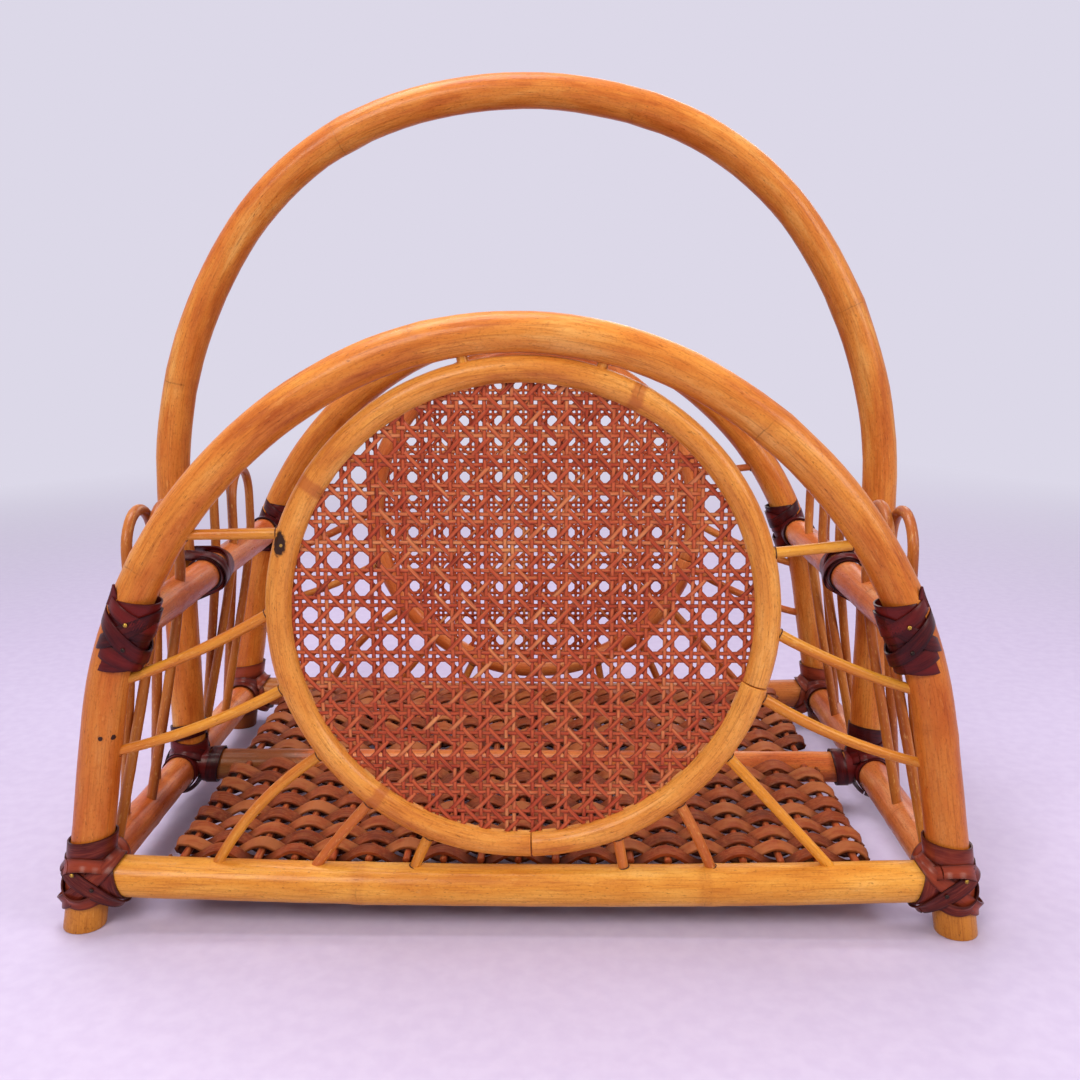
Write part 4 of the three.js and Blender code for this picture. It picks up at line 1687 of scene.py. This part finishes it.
@dataclass
class Lashing:
    """Strips of binding cane pulled tight over a joint of two or three poles."""

    name: str
    bars: list[Bar]
    turns: list[Turn]
    seed: int
    finish: StrandFinish = BINDING
    pins: list[Pin] = field(default_factory=list)
    tails: list[Tail] = field(default_factory=list)
    strip_thickness: float = 0.8
    layer_rise: float = 0.7
    tail_width: float = 8.5
    tail_curl: float = 1.2
    tail_steps: int = 6
    pin_radius: float = 1.1

    def build(self) -> None:
        """Builds the strips and pins of one joint and dresses them."""
        cores: dict[tuple[int, ...], Piece] = {}
        strips = []
        for number, turn_ in enumerate(self.turns):
            if turn_.bars not in cores:
                cores[turn_.bars] = self._core(turn_.bars)
            strips.append(self._strip(cores[turn_.bars], turn_, number))
        for core in cores.values():
            drop(core)
        strips += [self._tail(tail, number) for number, tail in enumerate(self.tails)]
        strips = [coated(strip, self.finish) for strip in strips]
        pins = [self._pin(pin) for pin in self.pins]
        piece = joined([*strips, *pins], self.name + "_strips")
        dress(piece, self.finish, self.name)

    def _core(self, chosen: tuple[int, ...]) -> Piece:
        """Builds some of the joint's poles as one closed skin for the strips to lie on.

        Args:
            chosen: The numbers of the poles.

        Returns:
            The skin.
        """
        parts = []
        for bar in (self.bars[i] for i in chosen):
            size = {"radius": bar.radius * MM, "depth": bar.along().length * MM}
            part = primitive(
                "joint_core", bpy.ops.mesh.primitive_cylinder_add, vertices=48, **size
            )
            turn(part, facing(bar.along(), (bar.start + bar.end) / 2 * MM))
            parts.append(part)
        core = joined(parts, "joint_core")
        if len(chosen) > 1:
            finish_modifier(core, "REMESH", mode="VOXEL", voxel_size=1.0 * MM)
            finish_modifier(core, "SMOOTH", factor=0.5, iterations=4)
        return core

    def _loop(self, turn_: Turn, lift: float) -> tuple[list[Vector], Matrix]:
        """Finds the tight loop round the bars in one plane.

        Args:
            turn_: The turn, with its plane.
            lift: How far the loop stands off the bars' skin.

        Returns:
            The loop's points in the plane, in metres, and the matrix that places the plane.
        """
        normal = turn_.normal.normalized()
        across = normal.orthogonal().normalized()
        other = normal.cross(across)
        points = []
        for bar in (self.bars[i] for i in turn_.bars):
            along = bar.along()
            slant = along.dot(normal)
            first = along.orthogonal().normalized()
            second = along.normalized().cross(first)
            for i in range(72):
                angle = 2 * math.pi * i / 72
                radial = first * math.cos(angle) + second * math.sin(angle)
                root = bar.start + radial * (bar.radius + lift)
                share = (turn_.centre - root).dot(normal) / slant
                away = root + along * max(0.0, min(1.0, share)) - turn_.centre
                points.append((away.dot(across), away.dot(other)))
        hull = self._hull(points)
        ring = [Vector((x, y, 0)) * MM for x, y in [*hull, hull[0]]]
        return evenly(ring, 97), framed((across, other, normal), turn_.centre * MM)

    @staticmethod
    def _hull(points: list[tuple[float, float]]) -> list[tuple[float, float]]:
        """Finds the points that a tight loop touches.

        Args:
            points: Places in the loop's plane.

        Returns:
            The touched points in order, turning left.
        """
        ordered = sorted(set(points))
        chains = []
        for run in (ordered, list(reversed(ordered))):
            chain: list[tuple[float, float]] = []
            for p in run:
                while len(chain) > 1:
                    (ax, ay), (bx, by) = chain[-2], chain[-1]
                    if (bx - ax) * (p[1] - ay) - (by - ay) * (p[0] - ax) > 0:
                        break
                    chain.pop()
                chain.append(p)
            chains.append(chain[:-1])
        return chains[0] + chains[1]

    def _ribbon(self, name: str, length: float, width: float, cells: int, number: int) -> Piece:
        """Adds a flat strip along the x axis that stands on its long edge.

        Args:
            name: The strip's name.
            length: Its length in metres.
            width: Its width in metres.
            cells: How many cells it has along its length.
            number: The strip's place in the lashing, which sets its grain and tone.

        Returns:
            The strip, from x = 0 to its length.
        """
        grid = {"x_subdivisions": cells, "y_subdivisions": 6, "size": 1}
        grid["rotation"] = (math.pi / 2, 0, 0)
        strip = primitive(name, bpy.ops.mesh.primitive_grid_add, (length, 1, width), **grid)
        shift(strip, Vector((length / 2, 0, 0)))
        at = places(strip)
        store(strip, "grain", at + np.array([(self.seed + number * 0.37) * 1.9, 0, 0]))
        store(strip, "edge", np.abs(at[:, 2]) / (width / 2))
        store(strip, "tone", 0.5 + 0.5 * math.sin((self.seed * 3 + number) * 1.7))
        return strip

    def _strip(self, core: Piece, turn_: Turn, number: int) -> Piece:
        """Builds one turn: a flat ribbon bent into the loop, pressed on and given a body.

        Args:
            core: The skin of the poles that it goes round.
            turn_: The turn.
            number: The strip's place in the lashing.

        Returns:
            The strip.
        """
        lift = 0.1 + turn_.layer * self.layer_rise
        path, place = self._loop(turn_, lift)
        strip = self._ribbon("strip", path_length(path), turn_.width * MM, 72, number)
        bend(strip, path, upright=True)
        turn(strip, place)
        single = len(turn_.bars) == 1
        finish_modifier(
            strip,
            "SHRINKWRAP",
            target=core,
            wrap_method="NEAREST_SURFACEPOINT",
            wrap_mode="ABOVE_SURFACE" if single else "OUTSIDE",
            offset=lift * MM,
        )
        if not single:
            finish_modifier(strip, "SMOOTH", factor=0.5, iterations=3)
        return smooth(self._with_body(strip))

    def _with_body(self, strip: Piece) -> Piece:
        """Gives a flat strip its thickness and turns its faces outwards."""
        finish_modifier(strip, "SOLIDIFY", thickness=self.strip_thickness * MM, offset=1.0)
        with editing(strip):
            bpy.ops.mesh.normals_make_consistent(inside=False)
        return strip

    def _tail(self, tail: Tail, number: int) -> Piece:
        """Builds the pointed end of a strip, which curls away from the pole.

        Args:
            tail: Where the end lies.
            number: Its place among the lashing's tails.

        Returns:
            The end of the strip.
        """
        length, steps = tail.length * MM, self.tail_steps
        strip = self._ribbon("tail", length, self.tail_width * MM, steps, number + 20)
        xs = places(strip)[:, 0]
        for step in range(1, steps + 1):
            x = length * step / steps
            with editing(strip, np.abs(xs - x) < NEAR):
                narrow = (1, 1, 1 - step / steps * 0.9)
                bpy.ops.transform.resize(value=narrow, center_override=(x, 0, 0))
                curl = self.tail_curl * MM * (step / steps) ** 2
                bpy.ops.transform.translate(value=(0, curl, 0))
        along = tail.along.normalized()
        out = (tail.out - along * tail.out.dot(along)).normalized()
        strip = self._with_body(strip)
        turn(strip, framed((along, out, along.cross(out)), tail.root * MM))
        return strip

    def _pin(self, pin: Pin) -> Piece:
        """Builds the domed head of one pin.

        Args:
            pin: Where the pin is and what it is made of.

        Returns:
            The head.
        """
        ball = {"segments": 12, "ring_count": 8, "radius": self.pin_radius * MM}
        dome = (1, 1, 0.55)
        head = primitive("pin_head", bpy.ops.mesh.primitive_uv_sphere_add, dome, **ball)
        turn(head, facing(pin.out, pin.at * MM))
        bpy.ops.object.shade_smooth()
        return coated(head, pin.metal)


@dataclass
class Lashings:
    """Every lashed joint of the basket, worked out for one corner and mirrored to the rest."""

    frame: Frame
    reach: float = 60.0
    arch_spare: float = 0.3
    rail_spare: float = 0.25

    def build(self) -> None:
        """Builds and dresses every lashing."""
        seeds = count(1)
        for side in Side:
            for face in Face:
                self._shoulder(side, face, next(seeds))
                self._corner(side, face, next(seeds))
            self._handle(side, next(seeds))
            self._handle_foot(side, next(seeds))

    def _leg(self, side: Side, face: Face, low: float, high: float) -> Bar:
        """Returns the stretch of an arch's leg between two heights."""
        xs = [side.value * self.frame.arch_x(z) for z in (low, high)]
        low_end, high_end = (Vector((x, face.value * ARCH_Y, z)) for x, z in zip(xs, (low, high)))
        return Bar(low_end, high_end, ARCH_DIAMETER / 2 + self.arch_spare)

    def _bar(self, start: Vector, way: Vector, diameter: float) -> Bar:
        """Returns a stretch of straight pole from a joint."""
        return Bar(start, start + way * self.reach, diameter / 2 + self.rail_spare)

    def _through(self, middle: Vector, way: Vector, diameter: float) -> Bar:
        """Returns a stretch of straight pole to both sides of a joint."""
        way = way * self.reach
        return Bar(middle - way, middle + way, diameter / 2 + self.rail_spare)

    def _shoulder(self, side: Side, face: Face, seed: int) -> None:
        """Lashes a shoulder rail to an arch: turns round each and a cross on the arch.

        Args:
            side: The short side of the joint.
            face: The long face of the joint.
            seed: The number that sets the strips' grain and tones.
        """
        s, f = side.value, face.value
        leg = self._leg(side, face, SHOULDER_HEIGHT - 36, SHOULDER_HEIGHT + 36)
        joint = (leg.start + leg.end) / 2
        start = Vector((s * SHOULDER_X, f * ARCH_Y, SHOULDER_HEIGHT))
        rail = self._bar(start, Vector((0, -f, 0)), SIDE_DIAMETER)
        slope = leg.along().normalized()
        sideways = Vector((s, 0, 0))
        turns = [
            Turn(start - Vector((0, f * 13, 0)), Vector((0, 1, 0.2)), (1,), 0),
            Turn(start - Vector((0, f * 18, 0)), Vector((0.15, 1, -0.2)), (1,), 1),
        ]
        # How far up the leg each turn lies, its slant, its layer and its width.
        for up, slant, layer, width in (
            (15, 0.20, 0, 9.0),
            (7, -0.12, 1, 8.2),
            (-1, 0.16, 0, 9.0),
            (-8, -0.16, 1, 8.4),
            (-12, 0.30, 0, 8.0),
            (4, 0.72, 2, 7.6),
            (1, -0.78, 3, 7.4),
            (12, -0.38, 2, 6.6),
        ):
            turns.append(Turn(joint + slope * up, slope + sideways * slant, (0,), layer, width))
        front = Vector((0, f, 0))
        skin = joint + front * (ARCH_DIAMETER / 2 + 3.3)
        pins = [
            Pin(skin + slope * 9 - sideways * 1.5, front, BRASS),
            Pin(skin - slope * 4 - sideways * 4, front, IRON),
        ]
        outward = slope.cross(Vector((0, 1, 0))).normalized()
        outward = outward if outward.x * s > 0 else -outward
        lifted = (outward * 0.45 + front * 0.9).normalized()
        root = joint + slope * 14 + (outward * 0.75 + front * 0.66) * 11.3
        tails = [Tail(root, slope + outward * 0.18, lifted, 11)]
        name = named(face, side, "shoulder_lashing")
        Lashing(name, [leg, rail], turns, seed, pins=pins, tails=tails).build()

    def _corner(self, side: Side, face: Face, seed: int) -> None:
        """Lashes a bottom corner, where two base rails meet a leg.

        Args:
            side: The short side of the corner.
            face: The long face of the corner.
            seed: The number that sets the strips' grain and tones.
        """
        s, f = side.value, face.value
        leg = self._leg(side, face, 0, 90)
        middle = Vector((s * self.frame.leg_x, f * ARCH_Y, BASE_HEIGHT))
        long_rail = self._bar(middle, Vector((-s, 0, -0.035)), BASE_DIAMETER)
        start = Vector((s * SIDE_RAIL_X, f * ARCH_Y, BASE_HEIGHT))
        inward, back = Vector((-s, 0, 0)), Vector((0, -f, 0))
        side_rail = self._bar(start, back, SIDE_DIAMETER)
        slope = leg.along().normalized()
        turns = [
            Turn(middle + slope * 17, slope - inward * 0.30, (0,), 1, 9.5),
            Turn(middle + slope * 10, slope - inward * 0.12, (0,), 0, 9.0),
            Turn(middle + slope * 2, slope + inward * 0.08, (0,), 0, 9.5),
            Turn(middle - slope * 5, slope + inward * 0.25, (0,), 0, 9.5),
            Turn(middle + inward * 13, inward + UP * 0.25, (1,), 0, 8.0),
            Turn(start + back * 13, back + UP * 0.20, (2,), 0, 8.0),
            Turn(start + back * 17, back - UP * 0.20, (2,), 1, 7.0),
            Turn(middle + inward * 3, inward * 0.64 - UP * 0.77, (0, 1), 1, 8.8),
            Turn(middle + inward * 1, inward * 0.60 + UP * 0.80, (0, 1), 2, 8.8),
            Turn(middle + back * 2, back * 0.62 - UP * 0.78, (0, 2), 1),
            Turn(middle + back * 2, back * 0.62 + UP * 0.78, (0, 2), 2),
        ]
        skin = middle - back * (ARCH_DIAMETER / 2 + 3.5)
        pins = [
            Pin(skin - inward * 3 + UP * 6, -back, BRASS),
            Pin(skin + inward * 6 - UP * 2, -back, IRON),
        ]
        name = named(face, side, "corner_lashing")
        Lashing(name, [leg, long_rail, side_rail], turns, seed, WORN_BINDING, pins).build()

    def _handle(self, side: Side, seed: int) -> None:
        """Lashes the carry handle to a shoulder rail that it passes.

        Args:
            side: The short side of the joint.
            seed: The number that sets the strips' grain and tones.
        """
        s = side.value
        on_rail = Vector((s * SHOULDER_X, 0, SHOULDER_HEIGHT))
        rail = self._through(on_rail, Vector((0, 1, 0)), SIDE_DIAMETER)
        on_handle = Vector((s * HANDLE_X, 0, SHOULDER_HEIGHT))
        handle = self._through(on_handle, UP, HANDLE_DIAMETER)
        joint = Vector((s * (SHOULDER_X + HANDLE_X) / 2, 0, SHOULDER_HEIGHT))
        turns = [
            Turn(joint, Vector((0, 1, 0.85)), (0, 1), 0, 8.0),
            Turn(joint + Vector((0, 2, 0)), Vector((0, 1, -0.85)), (0, 1), 1, 8.0),
            Turn(joint - Vector((0, 4, 0)), Vector((0.1, 1, 0.7)), (0, 1), 2, 7.0),
            Turn(on_rail - Vector((0, 9, 0)), Vector((0.1, 1, 0.25)), (0,), 0),
            Turn(on_rail + Vector((0, 9, 0)), Vector((0, 1, -0.3)), (0,), 0),
        ]
        Lashing(named(side, "handle_lashing"), [rail, handle], turns, seed).build()

    def _handle_foot(self, side: Side, seed: int) -> None:
        """Lashes the handle's foot to the side base rail and the middle rail.

        Args:
            side: The short side of the joint.
            seed: The number that sets the strips' grain and tones.
        """
        s = side.value
        foot = Vector((s * HANDLE_X, 0, BASE_HEIGHT))
        joint = Vector((s * SIDE_RAIL_X, 0, BASE_HEIGHT))
        inward = Vector((-s, 0, 0))
        rail = self._through(joint, Vector((0, 1, 0)), SIDE_DIAMETER)
        handle = self._bar(foot, UP, HANDLE_DIAMETER)
        middle = self._bar(joint, inward, SIDE_DIAMETER)
        turns = [
            Turn(foot + UP * 23, UP + Vector((s * 0.2, 0.1, 0)), (1,), 0, 9.0),
            Turn(foot + UP * 15, UP - Vector((s * 0.15, 0.2, 0)), (1,), 1, 9.0),
            Turn(joint + inward * 14, inward + UP * 0.2, (2,), 0, 8.0),
            Turn(joint + inward * 19, inward - UP * 0.2, (2,), 1, 7.0),
            Turn(joint + Vector((0, 12, 0)), Vector((0, 1, 0.2)), (0,), 0, 8.0),
            Turn(joint - Vector((0, 12, 0)), Vector((0, 1, -0.2)), (0,), 0, 8.0),
            Turn(joint + UP * 2, Vector((0, 0.68, 0.73)), (0, 1), 1),
            Turn(joint + UP * 2, Vector((0, -0.68, 0.73)), (0, 1), 2),
        ]
        Lashing(named(side, "handle_foot_lashing"), [rail, handle, middle], turns, seed).build()


# The studio, which isn't part of the basket.


@dataclass
class Studio:
    """The camera at the photograph's place, a pale sweep to stand on and soft light."""

    eye: tuple[float, float, float] = (0.0200, -0.6667, 0.3003)
    yaw: float = -0.016461
    pitch: float = 0.191384
    roll: float = -0.0010498
    focal_pixels: float = 1130.0
    frame_pixels: float = 1080.0
    sensor_width: float = 36.0
    backdrop: str = "#dcd8e8"
    floor_tones: tuple[tuple[float, str], ...] = ((0.35, "#c2b7d9"), (0.65, "#c7bddd"))
    floor_speck: float = 9.0
    fade_from: float = 0.6
    fade_to: float = 1.7
    air: str = "#f8f4f0"
    air_strength: float = 0.32

    def build(self) -> None:
        """Builds the whole studio."""
        self._camera()
        self._sweep()
        self._light()

    def _camera(self) -> None:
        """Places the camera."""
        data = bpy.data.cameras.new("camera")
        data.sensor_width = self.sensor_width
        data.lens = self.sensor_width * self.focal_pixels / self.frame_pixels
        data.clip_start = 0.01
        camera = bpy.data.objects.new("camera", data)
        bpy.context.scene.collection.objects.link(camera)
        level = math.cos(self.pitch)
        sideways, forward = math.sin(self.yaw) * level, math.cos(self.yaw) * level
        ahead = Vector((sideways, forward, -math.sin(self.pitch)))
        right = Vector((math.cos(self.yaw), -math.sin(self.yaw), 0))
        up = right.cross(ahead)
        turned_right = right * math.cos(self.roll) + up * math.sin(self.roll)
        turned_up = up * math.cos(self.roll) - right * math.sin(self.roll)
        camera.matrix_world = framed((turned_right, turned_up, -ahead), Vector(self.eye))
        bpy.context.scene.camera = camera

    def _sweep(self) -> None:
        """Builds the floor, which curves up into the backdrop."""
        plane = bpy.ops.mesh.primitive_plane_add
        sweep = primitive("studio_sweep", plane, (9, 5, 1), size=1)
        with editing(sweep, places(sweep)[:, 1] > 0):
            bpy.ops.mesh.extrude_region_move(TRANSFORM_OT_translate={"value": (0, 0, 4)})
        ends = edge_ends(sweep)
        fold = (ends[:, :, 1] > 2.4).all(axis=1) & (np.abs(ends[:, :, 2]) < 0.01).all(axis=1)
        with editing(sweep, fold, Part.EDGES):
            bpy.ops.mesh.bevel(offset=1.2, segments=12)
        pick(sweep)
        bpy.ops.object.shade_smooth()
        made, tree = started("pale_floor", Roughness=0.8)
        here = add(tree, "TexCoord", out="Object")
        speck = add(tree, "TexNoise", {"Vector": here, "Scale": per(self.floor_speck)[0]})
        tones = list(self.floor_tones)
        feed(tree, {"Base Color": add(tree, "ValToRGB", {0: speck}, stops=tones)})
        # Far from the basket's shadow the sweep fades into the even tone of the backdrop.
        away = add(tree, "VectorMath", {0: here}, "Value", operation="LENGTH")
        far = add(tree, "MapRange", {0: away, 1: self.fade_from, 2: self.fade_to})
        share = add(tree, "Math", {0: far, 1: self._seen(tree)}, operation="MULTIPLY")
        even = add(tree, "Emission", {0: linear(self.backdrop)})
        lit = tree.nodes["Principled BSDF"].outputs[0]
        mixed = add(tree, "MixShader", {0: share, 1: lit, 2: even})
        tree.links.new(mixed, tree.nodes["Material Output"].inputs["Surface"])
        sweep.data.materials.append(made)

    @staticmethod
    def _seen(tree: Tree) -> Socket:
        """Returns 1 for the rays of the camera and of shiny or clear surfaces, and else 0."""
        seen = add(tree, "LightPath", out="Is Camera Ray")
        for kind in ("Is Glossy Ray", "Is Transmission Ray"):
            either = {0: seen, 1: add(tree, "LightPath", out=kind)}
            seen = add(tree, "Math", either, operation="MAXIMUM")
        return seen

    def _light(self) -> None:
        """Lights the object with an even sky and four large soft lamps."""
        world = bpy.data.worlds.new("studio_air")
        world.use_nodes = True
        tree = world.node_tree
        air = tree.nodes["Background"]
        air.inputs["Color"].default_value = linear(self.air)
        air.inputs["Strength"].default_value = self.air_strength
        # The camera and shiny surfaces see a pale backdrop, which lights nothing.
        pale = add(tree, "Background", {0: linear(self.backdrop)})
        mixed = add(tree, "MixShader", {0: self._seen(tree), 1: air.outputs[0], 2: pale})
        tree.links.new(mixed, tree.nodes["World Output"].inputs["Surface"])
        bpy.context.scene.world = world
        for name, place, size, energy, code in (
            ("overhead_softbox", (-0.3, 0.05, 1.5), 0.8, 17.5, "#fbf7f4"),
            ("front_softbox", (-0.6, -1.4, 1.25), 0.7, 19.0, "#fff6ea"),
            ("side_softbox", (1.3, -0.8, 0.9), 0.7, 12.0, "#fff7ee"),
            ("rear_softbox", (0.5, 1.5, 1.0), 0.8, 5.0, "#fff7ee"),
        ):
            data = bpy.data.lights.new(name, "AREA")
            data.shape = "SQUARE"
            data.size = size
            data.energy = energy
            data.color = linear(code)[:3]
            lamp = bpy.data.objects.new(name, data)
            bpy.context.scene.collection.objects.link(lamp)
            lamp.location = place
            aim = Vector((0, 0, 0.2)) - Vector(place)
            lamp.rotation_euler = aim.to_track_quat("-Z", "Y").to_euler()


def main() -> None:
    logging.basicConfig(level=logging.INFO, format="%(name)s: %(message)s")
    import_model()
    bpy.context.scene.view_settings.view_transform = "Standard"
    Studio().build()
    frame = Frame()
    frame.build()
    SideCanes().build()
    for face in Face:
        Panel(frame, face).build()
    WovenFloor().build()
    Lashings(frame).build()


if __name__ == "__main__":
    main()
